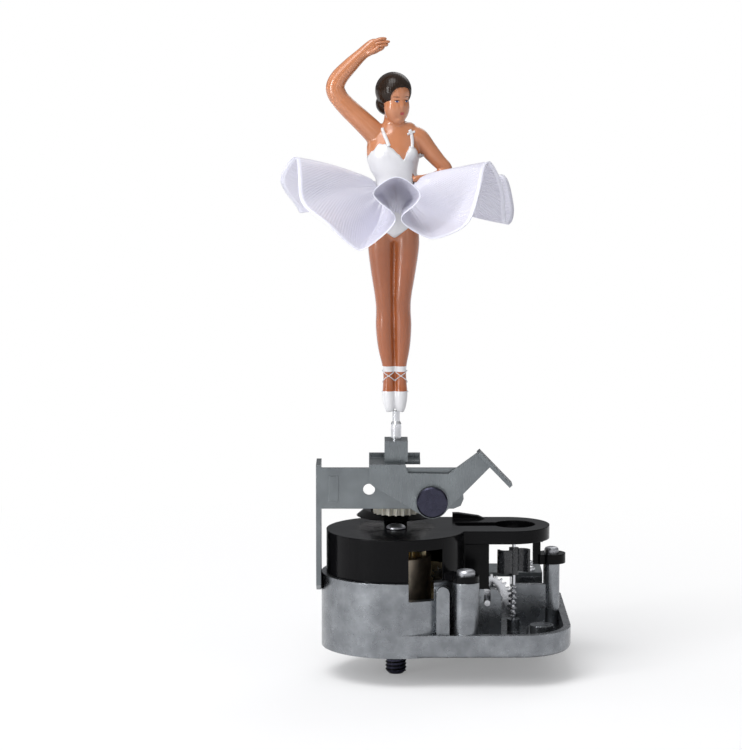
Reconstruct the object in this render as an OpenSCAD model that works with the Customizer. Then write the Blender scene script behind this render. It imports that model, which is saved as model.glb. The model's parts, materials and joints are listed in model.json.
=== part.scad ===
// Wind-up musical movement with a fold-down, turning ballerina.
// +X right, +Y back, +Z up.  The origin is on the winding shaft's axis,
// at the flat underside of the cast base.

/* [Base casting] */
// Outer radius of the round spring housing
housing_r = 15.2; // [14.8:0.1:15.6]
// Wall of the round spring housing
housing_wall = 2.0; // [1.8:0.1:2.2]
// Height of the round spring housing
housing_h = 15.1; // [14.9:0.1:15.4]
// Height of the rim round the gear tray
rim_h = 4.7; // [4:0.1:5.2]
// Thickness of the rim round the gear tray
rim_wall = 1.5; // [1.2:0.1:1.8]
// Thickness of the casting's floor
floor_t = 1.5; // [1.3:0.1:1.6]
// Round on the casting's bottom edge
foot_round = 1.2; // [0.5:0.1:1.2]
// Distance from the winding shaft to the right end of the base
tray_right = 35.5; // [35:0.1:37]
// Distance from the winding shaft to the back of the base
tray_back = 31.6; // [31.4:0.1:33]
// Radius of the tapped mounting holes in the underside
mount_hole_r = 1.25; // [1:0.05:1.4]

/* [Cover] */
// Outer radius of the black cover's disc
cover_r = 14.2; // [14.1:0.1:14.6]
// Height of the cover's top face above the base
cover_top = 23.8; // [23.6:0.1:24.2]
// Wall of the cover's skirt and ceiling
cover_wall = 1.4; // [1.2:0.1:1.5]
// Thickness of the keyhole plate to the right of the disc
lobe_t = 2.7; // [2.4:0.1:3]
// Outer radius of the keyhole plate round the governor
lobe_r = 8.5; // [8:0.1:9]
// Radius of the round part of the keyhole
keyhole_r = 4.35; // [4.1:0.05:4.6]

/* [Spring barrel and winding shaft] */
// Radius of the winding shaft
winding_r = 1.95; // [1.8:0.05:2]
// Length of winding shaft below the base
winding_drop = 6.2; // [5:0.1:8]
// Outer radius of the mainspring drum
drum_r = 7.2; // [6.9:0.1:7.4]
// Thickness of the great wheel
great_wheel_t = 2.0; // [1.6:0.1:2]

/* [Music train] */
// Radius of the pinned cylinder
cylinder_r = 4.6; // [4.4:0.05:4.7]
// Length of the pinned cylinder
cylinder_len = 10; // [9.6:0.1:10]
// Number of notes on the comb
notes = 18; // [14:1:18]
// Thickness of the comb
comb_t = 0.9; // [0.8:0.05:1]
// Distance across from the winding shaft to the worm wheel's arbor
worm_arbor_x = 18.7; // [18.6:0.05:18.8]
// Pitch of the governor's worm thread
worm_pitch = 1.1; // [1.05:0.01:1.12]
// Radius that the governor's wings sweep
fan_r = 3.4; // [2.8:0.1:3.6]

/* [Support bracket and lever] */
// Thickness of the zinc-plated steel sheet of the bracket
bracket_t = 1.0; // [0.8:0.1:1]
// Thickness of the lever's sheet
lever_t = 0.8; // [0.6:0.1:0.8]
// Top edge of the bracket's upright plate
bracket_top = 37.2; // [36.8:0.1:37.4]
// Height of the pivot pin above the base
pivot_z = 30.5; // [30.3:0.1:30.8]
// Distance of the pivot pin to the right of the spindle
pivot_x = 7.2; // [7:0.1:7.4]
// Radius of the pivot pin's shank
pivot_r = 1.5; // [1.3:0.1:1.6]
// Radius of the pivot pin's head
pin_head_r = 3.15; // [3:0.05:3.3]

/* [Spindle and ballerina] */
// Radius of the dancer's spindle
spindle_r = 0.75; // [0.65:0.05:0.8]
// Height of the dancer's feet above the base
feet_z = 48.0; // [47:0.1:49]
// Height of the figure from its feet to the top of its hair
figure_h = 71; // [68:0.5:74]
// Radius of the gathered ribbon skirt
tutu_r = 23.5; // [21:0.5:25]

/* [Hidden] */
$fn = 48;

eps = 0.01;              // overlap that makes two shapes of one piece a single solid
run = 0.05;              // radial running clearance of a shaft in its bearing
seat = 0.1;              // end play between parts that turn on one axis
cast_grey = "#a4a8ac";
steel_grey = "#8d949b";
gloss_black = "#141416";
brass_tone = "#b59a6a";
nylon_tone = "#d9d3c4";

// --- gear data: teeth and modules; centre distances follow from them
train_m = 0.4;
great_teeth = 60;
transfer_teeth = 15;
crown_teeth = 20;
crown_m = 0.36;
cyl_pinion_teeth = 14;
cyl_wheel_m = 0.45;
cyl_wheel_teeth = 30;
arbor_pinion_teeth = 10;
worm_wheel_teeth = 28;
top_gear_teeth = 29;
idler_pinion_teeth = 16;
idler_wheel_teeth = 21;
spindle_teeth = 19;
dancer_m = (top_gear_teeth + idler_pinion_teeth) * train_m / (idler_wheel_teeth + spindle_teeth);

transfer_dist = (great_teeth + transfer_teeth) * train_m / 2;
idler_y = (top_gear_teeth + idler_pinion_teeth) * train_m / 2;
cyl_dist = (cyl_wheel_teeth + arbor_pinion_teeth) * cyl_wheel_m / 2;
worm_arbor_z = 8.3;
cylinder_z = 10.6;
cylinder_x = worm_arbor_x - sqrt(cyl_dist * cyl_dist - pow(cylinder_z - worm_arbor_z, 2));
transfer_x = cylinder_x;
transfer_y = sqrt(transfer_dist * transfer_dist - transfer_x * transfer_x);
crown_r = crown_teeth * crown_m / 2;
crown_plane = cylinder_z - cyl_pinion_teeth * crown_m / 2;
worm_wheel_r = worm_wheel_teeth * worm_pitch / PI / 2;
worm_r = 0.75;
worm_core = 0.35;
worm_gap = 0.7;          // worm wheel's pitch circle to the worm's axis
governor_x = worm_arbor_x + worm_wheel_r + worm_gap;
governor_y = 5.0;

// --- levels up the main axis
journal_r = winding_r + 0.5;   // shouldered above the stub
collar_r = journal_r + 0.75;
leg_screw_z = housing_h - 2.1;
wheel_z = 2.6;
drum_z = wheel_z + great_wheel_t;
top_gear_z = 18.4;
gear_t = 1.8;
ceiling = cover_top - cover_wall;
lobe_z = cover_top - lobe_t;
lobe_c = [governor_x - 1.2, governor_y];

// --- stations along the cylinder's axis, front to back
pinion_y = transfer_y + crown_r - 0.6;
pinion_t = 1.2;
cyl_wheel_y = pinion_y + pinion_t + 0.3;
plate_y = cyl_wheel_y + pinion_t + 0.3;
plate_t = 1.0;
cyl_y = plate_y + plate_t + 0.3;
rear_plate_y = cyl_y + cylinder_len + 0.3;
arbor_r = 0.7;
worm_shaft_r = 0.6;

// --- base outline: centre and radius of each round corner, going round anticlockwise
tray_corner_r = 4;
tray_front_r = 11;
tray = [
    [[0, 0], housing_r],
    [[tray_right - tray_front_r, tray_front_r - housing_r + 0.2], tray_front_r],
    [[tray_right - tray_corner_r, tray_back - tray_corner_r], tray_corner_r],
    [[5, tray_back - tray_corner_r], tray_corner_r]
];

front_post = [13.9, -12];
front_post_r = 2.7;
front_post_top = housing_h;
right_post = [32.4, 10.5];
right_post_r = 1.7;
right_post_top = 14.8;
ear_t = 2.0;
front_ear_t = 1.4;
cover_screw_r = [1.0, 0.8];
cover_screw_head = [1.85, 1.5];
comb_tip_x = cylinder_x + cylinder_r + 0.45;
comb_root_x = 24.6;
comb_end_x = 31;
comb_z = cylinder_z - comb_t / 2;
comb_screw_y = [cyl_y + 2.2, cyl_y + cylinder_len - 2.2];
comb_screw_x = 28;
small_screw_r = 0.9;

// --- lever and spindle levels
bracket_y = -6.0;
lever_y = bracket_y - 0.2 - lever_t;
flange_gap = 0.05;
flange_z = bracket_top + flange_gap;
bridge_z = 41.5;
bridge_half = 2.35;
bridge_front = -3.8;
bridge_back = 3.4;
spindle_gear_z = 27.1;
spindle_gear_t = 1.5;
idler_cone_z = cover_top + 1.25;
idler_teeth_z = idler_cone_z + 1.3;
idler_top = spindle_gear_z + 0.6;

// --- 2D helpers -----------------------------------------------------------

// Angle of the outward normal of the straight run from corner i to the next
function run_angle(c, i) =
    let (a = c[i], b = c[(i + 1) % len(c)], d = b[0] - a[0])
    atan2(d[1], d[0]) - acos((a[1] - b[1]) / norm(d));
function rim_point(corner, angle, inset) =
    corner[0] + (corner[1] - inset) * [cos(angle), sin(angle)];

// Convex outline with round corners, as true arcs and straight runs
module outline(corners, inset = 0) {
    n = len(corners);
    polygon([for (i = [0:n - 1], k = [0, 1])
        rim_point(corners[(i + k) % n], run_angle(corners, i), inset)]);
    for (c = corners) translate(c[0]) circle(c[1] - inset, $fn = 96);
}

// Plate on such an outline whose bottom edge is rounded
module cast_plate(corners, h, f) {
    n = len(corners);
    translate([0, 0, f]) linear_extrude(h - f) outline(corners);
    linear_extrude(f + eps) outline(corners, f + 0.6);
    for (c = corners) translate(c[0]) rotate_extrude($fn = 96)
        polygon(concat([[0, 0]],
            [for (a = [0:15:90]) [c[1] - f + f * sin(a), f - f * cos(a)]], [[0, f]]));
    for (i = [0:n - 1]) {
        a = run_angle(corners, i);
        p = rim_point(corners[i], a, f);
        q = rim_point(corners[(i + 1) % n], a, f);
        // a hair inside the round corners, so that the two never share an edge
        translate(q) rotate([90, 0, a]) translate([-eps, 0, 0]) linear_extrude(norm(q - p))
            polygon(concat([[-1, f + eps], [-1, eps]],
                [for (b = [0:15:90]) [f * sin(b), f - f * cos(b) + eps]]));
    }
}

// One spur gear outline: straight-flanked teeth, the first on +X
module gear_2d(teeth, m, slim = 0.19) {
    pitch_r = teeth * m / 2;
    step = 360 / teeth;
    tip_r = pitch_r + 0.85 * m;
    root_r = pitch_r - 1.2 * m;
    polygon([for (i = [0:teeth - 1], p = [[root_r, -slim - 0.09], [tip_r, -slim + 0.09],
        [tip_r, slim - 0.09], [root_r, slim + 0.09]])
        p[0] * [cos(step * (i + p[1])), sin(step * (i + p[1]))]]);
}

module spur(teeth, m, h, phase = 0, slim = 0.19)
    rotate(phase) linear_extrude(h) gear_2d(teeth, m, slim);

// Turns a shape drawn up +Z so that it runs along +Y, with its +X still to the right
module along_y(x, y, z) translate([x, y, z]) rotate([-90, 0, 0]) children();

module tube(r, bore, h) difference() {
    cylinder(r = r, h = h);
    translate([0, 0, -1]) cylinder(r = bore, h = h + 2);
}

// Domed screw head with a slot; its seat is at z = 0 and its shank points down
module screw(head_r, head_h, shank_r, shank) {
    translate([0, 0, -shank]) cylinder(r = shank_r, h = shank + eps);
    difference() {
        rotate_extrude() polygon([[0, 0], [head_r, 0], [head_r, head_h * 0.55],
            [head_r * 0.85, head_h * 0.85], [head_r * 0.45, head_h], [0, head_h]]);
        translate([-head_r, -head_r * 0.14, head_h * 0.55]) cube([2 * head_r, head_r * 0.28, head_h]);
    }
}

// --- cast base -------------------------------------------------------------

mount_holes = [[1.6, 20.5], [29.5, -5.5], [tray_right - 3.1, 15.6]];
mount_boss_r = 2.4;
mount_depth = 4.2;

module base_casting() color(cast_grey) difference() {
    union() {
        difference() {
            union() {
                cast_plate(tray, rim_h, foot_round);
                cylinder(r = housing_r, h = housing_h, $fn = 96);
            }
            translate([0, 0, floor_t]) linear_extrude(rim_h) difference() {
                outline(tray, rim_wall);
                circle(housing_r, $fn = 96);
            }
            translate([0, 0, floor_t]) cylinder(r = housing_r - housing_wall, h = housing_h, $fn = 96);
        }
        translate([0, 0, floor_t - eps]) {
            translate(front_post) cylinder(r = front_post_r, h = front_post_top - floor_t + eps);
            translate(right_post) cylinder(r = right_post_r, h = right_post_top - floor_t + eps);
            translate([governor_x, governor_y]) cylinder(r = 1.3, h = 2.5);
            for (p = mount_holes) translate(p) cylinder(r = mount_boss_r, h = mount_depth + 0.8 - floor_t);
            translate([transfer_x, transfer_y]) cylinder(r = 1.6, h = 0.5);
            translate([27.6, 2.2]) cylinder(r1 = 0.8, r2 = 0.35, h = 1.6);
        }
        // stepped upright beside the drum window
        translate([8, -14.2, floor_t - eps]) cube([2.6, 2.8, 13.1 - floor_t]);
        translate([9.3, -11.4, 13.1]) rotate([90, 0, 0]) cylinder(r = 1.3, h = 2.8);
        // forked upright that carries the worm wheel's arbor
        translate([0, 1.6, 0]) rotate([90, 0, 0]) linear_extrude(1.4)
            polygon([[worm_arbor_x - 2.2, floor_t - eps], [worm_arbor_x + 2.9, floor_t - eps],
                [worm_arbor_x + 2.9, 9.7], [worm_arbor_x + 1.6, 11.2], [worm_arbor_x - 2.2, 11.2]]);
        // rear wall under the right-hand end of the cover
        translate([24.5, 8.6, floor_t - eps]) cube([6.6, 1.4, 9]);
        // shelf that the comb is screwed to
        translate([comb_root_x, cyl_y - 0.2, floor_t - eps])
            cube([comb_end_x - comb_root_x, cylinder_len + 0.4, comb_z - floor_t + eps]);
        // boss for the bracket's screw
        translate([-housing_r, 0, leg_screw_z]) rotate([0, 90, 0]) cylinder(r = 1.8, h = 3.6);
    }
    // bearing of the winding shaft
    translate([0, 0, -1]) cylinder(r = journal_r + run, h = floor_t + 2);
    // window on the drum
    translate([2.4, -housing_r - 1, 11.5]) cube([5.1, 6, 10]);
    // room for the transfer wheel and the worm wheel
    translate([transfer_x, transfer_y, floor_t + 0.5]) cylinder(r = crown_r + 1.2, h = housing_h);
    along_y(worm_arbor_x, governor_y - 0.8, worm_arbor_z) cylinder(r = worm_wheel_r + 0.7, h = 1.6);
    // screw holes
    translate([front_post.x, front_post.y, front_post_top - 6]) cylinder(r = cover_screw_r[0], h = 7);
    translate([right_post.x, right_post.y, right_post_top - 6]) cylinder(r = cover_screw_r[1], h = 7);
    for (y = comb_screw_y) translate([comb_screw_x, y, comb_z - 4]) cylinder(r = small_screw_r, h = 5);
    for (p = mount_holes) translate([p.x, p.y, -1]) cylinder(r = mount_hole_r, h = mount_depth + 1);
    for (p = [front_foot_screw, [cylinder_x, rear_foot_y + 1.5]])
        translate([p.x, p.y, floor_t - 0.9]) cylinder(r = small_screw_r, h = 3);
    translate([-housing_r - 1, 0, leg_screw_z]) rotate([0, 90, 0]) cylinder(r = small_screw_r, h = 4);
    translate([governor_x, governor_y, floor_t + 1.2]) cylinder(r = 0.4, h = 5);
    translate([transfer_x, transfer_y, floor_t - 0.7]) cylinder(r = 0.8, h = 5);
    // fork of the worm wheel's arbor
    along_y(worm_arbor_x, 0, worm_arbor_z) cylinder(r = worm_shaft_r + run, h = 3);
    translate([worm_arbor_x - worm_shaft_r - run, 0, worm_arbor_z]) cube([2 * (worm_shaft_r + run), 3, 5]);
}

// --- black cover -------------------------------------------------------------

module cover_outline() {
    circle(cover_r, $fn = 96);
    translate(lobe_c) circle(lobe_r, $fn = 96);
    translate([8, lobe_c.y - lobe_r]) square([lobe_c.x - 8, 2 * lobe_r]);
}

module ear(p, r, toward) {
    translate(p) circle(r);
    w = 1.5;
    a = atan2(toward.y - p.y, toward.x - p.x);
    translate(p) rotate(a) translate([0, -w]) square([norm(toward - p), 2 * w]);
}

module cover() color(gloss_black) difference() {
    union() {
        rotate_extrude($fn = 96) polygon(concat(
            [[0, ceiling], [cover_r - cover_wall, ceiling], [cover_r - cover_wall, housing_h],
             [cover_r, housing_h]],
            [for (a = [0:15:90]) [cover_r - 1.4 + 1.4 * cos(a), cover_top - 1.4 + 1.4 * sin(a)]],
            [[0, cover_top]]));
        // keyhole plate over the governor
        translate([0, 0, lobe_z]) linear_extrude(lobe_t) difference() {
            cover_outline();
            circle(cover_r - 2, $fn = 96);
            translate([governor_x, governor_y]) circle(keyhole_r, $fn = 64);
            translate([12.2, governor_y - 2.1]) square([governor_x - 12.2, 4.2]);
        }
        // boss round the top end of the winding shaft
        translate([0, 0, ceiling - 1.6]) cylinder(r = journal_r + 1.1, h = 1.6 + eps);
        // guard that hangs in front of the worm wheel
        translate([housing_r + 0.3, -3, 11.8]) cube([18.9 - housing_r - 0.3, 1.2, lobe_z - 11.8 + eps]);
        translate([12.2, -3, housing_h + 0.1]) cube([4, 1.2, lobe_z - housing_h - 0.1 + eps]);
        // front ear on its post
        translate([0, 0, front_post_top]) linear_extrude(front_ear_t)
            difference() {
                ear(front_post, front_post_r, [9, -8]);
                circle(cover_r - 0.7, $fn = 96);
            }
        // right ear on its post, and the leg that carries it
        translate([0, 0, right_post_top]) linear_extrude(ear_t) ear(right_post, 2.9, [29.2, 9]);
        translate([28.4, 8.2, right_post_top]) cube([1.6, 1.8, lobe_z - right_post_top + eps]);
        // raised rib at the back of the keyhole plate
        translate([0, lobe_c.y + 7.6, cover_top - eps]) rotate([90, 0, 0]) linear_extrude(1.6)
            polygon([[11.8, 0], [18.6, 0], [17.2, 0.6], [13, 1.2], [11.8, 1.2]]);
        // boss round the idler's shaft
        translate([0, idler_y, ceiling - 0.8]) cylinder(r = 2.4, h = idler_cone_z - 0.15 - ceiling + 0.8);
    }
    // window on the drum
    translate([2.4, -cover_r - 1, housing_h - 1]) cube([6.8, 8, 7.4]);
    // blind bearing of the winding shaft, and the rivet's hole above it
    translate([0, 0, ceiling - 2]) cylinder(r = journal_r + run, h = 2.2);
    translate([0, 0, ceiling]) cylinder(r = 1, h = 5);
    translate([0, idler_y, ceiling - 3]) cylinder(r = 1 + run, h = 8);
    translate([front_post.x, front_post.y, 10]) cylinder(r = cover_screw_r[0], h = 20);
    translate([right_post.x, right_post.y, 10]) cylinder(r = cover_screw_r[1], h = 20);
    // relief over the cylinder wheel
    translate([cylinder_x - 9, cyl_wheel_y - 0.6, 10]) cube([18, 3, 9]);
}

module cover_screws() color(steel_grey) {
    translate([front_post.x, front_post.y, front_post_top + front_ear_t])
        screw(cover_screw_head[0], 1.2, cover_screw_r[0], 6);
    translate([right_post.x, right_post.y, right_post_top + ear_t])
        screw(cover_screw_head[1], 1.3, cover_screw_r[1], 6);
}

module centre_rivet() color(steel_grey) {
    translate([0, 0, cover_top]) rotate_extrude()
        polygon(concat([[0, 0]], [for (a = [0:15:90]) [2 * cos(a), 0.15 + 0.9 * sin(a)]]));
    translate([0, 0, ceiling + 0.25]) cylinder(r = 1, h = cover_wall - 0.25 + 0.1);
}

// --- bearings, comb and other fixed parts of the train -----------------------

front_foot = [worm_arbor_x - 3.6, plate_y + plate_t - eps];
front_foot_screw = front_foot + [2.8, 1.8];

module bearing_plate_front() color(steel_grey) difference() {
    union() {
        translate([0, plate_y + plate_t, 0]) rotate([90, 0, 0]) linear_extrude(plate_t)
            polygon([[cylinder_x - 3, floor_t], [worm_arbor_x + 2, floor_t],
                [worm_arbor_x + 2, 10.6], [cylinder_x + 3, 13], [cylinder_x - 3, 13]]);
        translate([front_foot.x, front_foot.y, floor_t]) cube([5.6, 3.4, 1]);
    }
    translate([front_foot_screw.x, front_foot_screw.y, 0]) cylinder(r = small_screw_r, h = 5);
    along_y(cylinder_x, plate_y - 1, cylinder_z) cylinder(r = arbor_r + run, h = 3);
    along_y(worm_arbor_x, plate_y - 1, worm_arbor_z) cylinder(r = worm_shaft_r + run, h = 3);
}

rear_foot_y = rear_plate_y - 3;

module bearing_plate_rear() color(steel_grey) difference() {
    union() {
        translate([0, rear_plate_y + plate_t, 0]) rotate([90, 0, 0]) linear_extrude(plate_t)
            polygon([[cylinder_x - 3, floor_t], [cylinder_x + 3, floor_t], [cylinder_x + 3, 13],
                [cylinder_x - 3, 13]]);
        translate([cylinder_x - 3, rear_foot_y, floor_t]) cube([6, 3 + eps, 1]);
    }
    along_y(cylinder_x, rear_plate_y - 1, cylinder_z) cylinder(r = arbor_r + run, h = 3);
    translate([cylinder_x, rear_foot_y + 1.5, 0]) cylinder(r = small_screw_r, h = 5);
}

module bearing_screws() color(steel_grey)
    for (p = [front_foot_screw, [cylinder_x, rear_foot_y + 1.5]])
        translate([p.x, p.y, floor_t + 1]) screw(1.4, 0.9, small_screw_r, 1.9);

tine_pitch = cylinder_len / notes;

module comb() color(steel_grey) difference() {
    translate([comb_tip_x, cyl_y, comb_z]) cube([comb_end_x - comb_tip_x, cylinder_len, comb_t]);
    for (i = [1:notes - 1])
        translate([comb_tip_x - 1, cyl_y + i * tine_pitch - 0.07, comb_z - 1])
            cube([1 + 5.4 + 3.2 * i / notes, 0.14, 3]);
    for (y = comb_screw_y) translate([comb_screw_x, y, 0]) cylinder(r = small_screw_r, h = 20);
}

module comb_screws() color(steel_grey)
    for (y = comb_screw_y) translate([comb_screw_x, y, comb_z + comb_t]) screw(1.6, 1.1, small_screw_r, 4);

module transfer_stud() color(steel_grey) {
    translate([transfer_x, transfer_y, floor_t - 0.7]) cylinder(r = 0.8, h = crown_plane - floor_t + 0.3);
    translate([transfer_x, transfer_y, crown_plane - 0.4]) cylinder(r = 1.4, h = 0.5);
}

module governor_bridge() color(steel_grey) difference() {
    translate([governor_x - 5.9, governor_y - 1.5, lobe_z - 0.8]) cube([11.8, 3, 0.8]);
    translate([governor_x, governor_y, lobe_z - 2]) cylinder(r = 0.4, h = 4);
}

// --- sheet-steel support bracket and its pivot --------------------------------

leg_x = -housing_r - bracket_t;
leg_z = 11.6;
plate_right = 13.6;
plate_bottom = 28.9;

module support_bracket() color(steel_grey) difference() {
    union() {
        // upright plate that faces the front
        translate([0, bracket_y + bracket_t, 0]) rotate([90, 0, 0]) linear_extrude(bracket_t)
            difference() {
                polygon([[leg_x, plate_bottom], [plate_right - 2, plate_bottom],
                    [plate_right - 0.6, plate_bottom + 0.6], [plate_right, plate_bottom + 2],
                    [plate_right - 0.6, bracket_top], [leg_x, bracket_top]]);
                translate([-5.5, 32.8]) circle(1.2);
            }
        // leg down the left side of the housing
        translate([leg_x + bracket_t, 0, 0]) rotate([0, -90, 0]) linear_extrude(bracket_t)
            polygon([[leg_z + 1.6, bracket_y], [bracket_top + 0.5, bracket_y],
                [bracket_top + 0.5, 3.4], [bracket_top - 1, 4], [leg_z, 4], [leg_z, -2.4]]);
        // shallow stamped rib
        translate([leg_x + 2.6, bracket_y - 0.25, plate_bottom + 1.5]) cube([1.9, 0.5, 5.2]);
    }
    translate([leg_x, 0, leg_screw_z]) rotate([0, 90, 0]) cylinder(r = small_screw_r, h = 4);
    translate([leg_x, 0, leg_screw_z]) rotate([0, 90, 0]) cylinder(r1 = 1.7, r2 = small_screw_r, h = 0.8);
    along_y(pivot_x, bracket_y - 1, pivot_z) cylinder(r = pivot_r, h = 3);
}

module bracket_screw() color(steel_grey) translate([leg_x, 0, leg_screw_z]) rotate([0, 90, 0]) {
    cylinder(r1 = 1.7, r2 = small_screw_r, h = 0.8);
    cylinder(r = small_screw_r, h = 3.6);
}

pin_end = 1.6;

module pivot_pin() color("#2b2b38") {
    along_y(pivot_x, lever_y - 1.5, pivot_z) {
        rotate_extrude() polygon([[0, 0], [pin_head_r - 0.3, 0], [pin_head_r, 0.3],
            [pin_head_r, 1.3], [0, 1.3]]);
        cylinder(r = pivot_r, h = pin_end - lever_y + 1.5);
    }
    along_y(pivot_x, pin_end - 0.8, pivot_z) cylinder(r = pivot_r + 0.7, h = 0.6);
}

module pivot_washer() color(steel_grey)
    along_y(pivot_x, lever_y - 0.2, pivot_z) tube(pin_head_r + 0.3, pivot_r, 0.15);

coil_r = 2.05;
wire_r = 0.22;
coil_turns = 5;
coil_sides = 6;
coil_steps = 12;
coil_start = bracket_y + bracket_t + wire_r + 0.02;
coil_pitch = 0.62;

// Closed tube swept along a helix round +Y
module return_spring() color(steel_grey) translate([pivot_x, coil_start, pivot_z]) {
    n = coil_turns * coil_steps;
    points = [for (i = [0:n], j = [0:coil_sides - 1])
        let (a = 360 * i / coil_steps, b = 360 * j / coil_sides, r = coil_r + wire_r * cos(b))
        [r * cos(a), coil_pitch * i / coil_steps + wire_r * sin(b), r * sin(a)]];
    sides = [for (i = [0:n - 1], j = [0:coil_sides - 1])
        let (k = (j + 1) % coil_sides, a = i * coil_sides, b = a + coil_sides)
        [a + j, a + k, b + k, b + j]];
    polyhedron(points, concat([[for (j = [coil_sides - 1:-1:0]) j]], sides,
        [[for (j = [0:coil_sides - 1]) n * coil_sides + j]]), convexity = 6);
}

// --- spring barrel and winding shaft ------------------------------------------

great_phase = atan2(transfer_y, transfer_x);

module great_wheel() color(brass_tone) translate([0, 0, wheel_z]) difference() {
    spur(great_teeth, train_m, great_wheel_t, great_phase);
    translate([0, 0, -1]) cylinder(r = journal_r + run, h = 5);
}

module spring_drum() color(brass_tone) translate([0, 0, drum_z]) difference() {
    cylinder(r = drum_r, h = top_gear_z - drum_z, $fn = 64);
    translate([0, 0, 0.8]) cylinder(r = drum_r - 0.8, h = top_gear_z - drum_z - 1.6, $fn = 64);
    translate([0, 0, -1]) cylinder(r = journal_r + run, h = 20);
}

module drum_top_gear() color(brass_tone) translate([0, 0, top_gear_z]) difference() {
    spur(top_gear_teeth, train_m, gear_t, 90);
    translate([0, 0, -1]) cylinder(r = journal_r + run, h = 5);
}

module mainspring() color("#6d7076") translate([0, 0, drum_z + 1.1]) {
    turns = 3;
    steps = 16;
    strip = 0.35;
    inner = journal_r + strip + 0.1;
    grow = (drum_r - 1.0 - inner) / (turns * steps);
    linear_extrude(top_gear_z - drum_z - 2.2) polygon(concat(
        [for (i = [0:turns * steps]) (inner + grow * i) * [cos(360 * i / steps), sin(360 * i / steps)]],
        [for (i = [turns * steps:-1:0]) (inner + grow * i - strip)
            * [cos(360 * i / steps), sin(360 * i / steps)]]));
}

module winding_shaft() color(gloss_black) {
    top = ceiling - 0.1;
    rotate_extrude() polygon([[0, -winding_drop], [winding_r - 0.5, -winding_drop],
        [winding_r, -winding_drop + 0.5], [winding_r, 0], [journal_r, 0], [journal_r, floor_t + seat],
        [collar_r, floor_t + seat], [collar_r, wheel_z - seat], [journal_r, wheel_z - seat], [journal_r, top],
        [0, top]]);
}

// --- music train ----------------------------------------------------------------

crown_face = 1.2;
crown_in = crown_r - 0.6;

// Pinion below, crown teeth on top: turns the drive from upright to level
module transfer_wheel() color(brass_tone) translate([transfer_x, transfer_y, 0]) difference() {
    union() {
        translate([0, 0, wheel_z]) spur(transfer_teeth, train_m, great_wheel_t,
            great_phase + 180 + 180 / transfer_teeth);
        translate([0, 0, floor_t + 0.6]) cylinder(r = 1.6, h = crown_plane - 1.2 - floor_t);
        translate([0, 0, crown_plane - 1.6]) cylinder(r = crown_r + 0.6, h = 1.15);
        for (i = [0:crown_teeth - 1]) rotate(90 + 360 * (i + 0.5) / crown_teeth)
            translate([crown_in, 0, crown_plane - 0.46]) rotate([90, 0, 90])
                linear_extrude(crown_face) polygon([[-0.27, 0], [0.27, 0], [0.12, 0.72], [-0.12, 0.72]]);
    }
    cylinder(r = 0.8 + run, h = 20);
    translate([0, 0, crown_plane - 0.5]) cylinder(r = 1.6, h = 5);
}

pins_per_note = 4;

module music_cylinder() color(brass_tone) along_y(cylinder_x, cyl_y, cylinder_z) {
    difference() {
        cylinder(r = cylinder_r, h = cylinder_len, $fn = 64);
        translate([0, 0, -1]) cylinder(r = arbor_r, h = cylinder_len + 2);
    }
    // one short pin for each note that a comb tine plays, in a plain repeating figure
    for (i = [0:notes - 1], k = [0:pins_per_note - 1])
        rotate(90 * k + (i * 47) % 90 + 8) translate([cylinder_r - 0.1, 0, (i + 0.5) * tine_pitch])
            rotate([0, 90, 0]) cylinder(r = 0.12, h = 0.4, $fn = 6);
}

module cylinder_arbor() color(steel_grey) along_y(cylinder_x, pinion_y, cylinder_z) {
    cylinder(r = arbor_r, h = rear_plate_y + plate_t + 0.5 - pinion_y);
    spur(cyl_pinion_teeth, crown_m, pinion_t, 90, 0.17);
}

// Direction, seen along +Y with +X right and +Z down, from the cylinder to the worm wheel's arbor
mesh_angle = atan2(cylinder_z - worm_arbor_z, worm_arbor_x - cylinder_x);

module cylinder_wheel() color(brass_tone) along_y(cylinder_x, cyl_wheel_y, cylinder_z) difference() {
    spur(cyl_wheel_teeth, cyl_wheel_m, pinion_t, mesh_angle);
    translate([0, 0, -1]) cylinder(r = arbor_r, h = 4);
}

module worm_arbor() color(steel_grey) {
    along_y(worm_arbor_x, -0.3, worm_arbor_z) cylinder(r = worm_shaft_r, h = plate_y + plate_t + 0.8);
    along_y(worm_arbor_x, cyl_wheel_y, worm_arbor_z)
        spur(arbor_pinion_teeth, cyl_wheel_m, pinion_t, mesh_angle + 180 + 180 / arbor_pinion_teeth);
}

worm_wheel_t = 0.8;

module worm_wheel() color(steel_grey)
    along_y(worm_arbor_x, governor_y - worm_wheel_t / 2, worm_arbor_z) difference() {
        linear_extrude(worm_wheel_t) polygon([for (i = [0:worm_wheel_teeth - 1],
            p = [[-0.33, -0.28], [0.28, -0.1], [0.28, 0.1], [-0.33, 0.28]])
            let (a = 360 * (i + p[1]) / worm_wheel_teeth)
            (worm_wheel_r + p[0]) * [cos(a), sin(a)]]);
        translate([0, 0, -1]) cylinder(r = worm_shaft_r, h = 4);
        for (a = [0:60:300]) rotate(a) translate([2.5, 0, -1]) cylinder(r = 0.8, h = 4);
    }

// --- governor ----------------------------------------------------------------------

worm_z = 4.6;
worm_len = 6.6;

module governor_worm() color("silver") translate([governor_x, governor_y, 0]) {
    translate([0, 0, floor_t + 1.3]) cylinder(r = 0.35, h = worm_z - floor_t - 1.3 + eps);
    translate([0, 0, worm_z + worm_len - eps]) cylinder(r = 0.35, h = lobe_z - 0.1 - worm_z - worm_len);
    // single-start thread whose root faces the worm wheel at the arbor's height
    phase = 360 * (worm_arbor_z - worm_z) / worm_pitch;
    translate([0, 0, worm_z]) rotate(phase) linear_extrude(worm_len, twist = 360 * worm_len / worm_pitch,
        slices = 48, $fn = 12) translate([(worm_r - worm_core) / 2, 0]) circle((worm_r + worm_core) / 2, $fn = 12);
}

fan_z = 13.3;
fan_h = 5.6;

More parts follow.
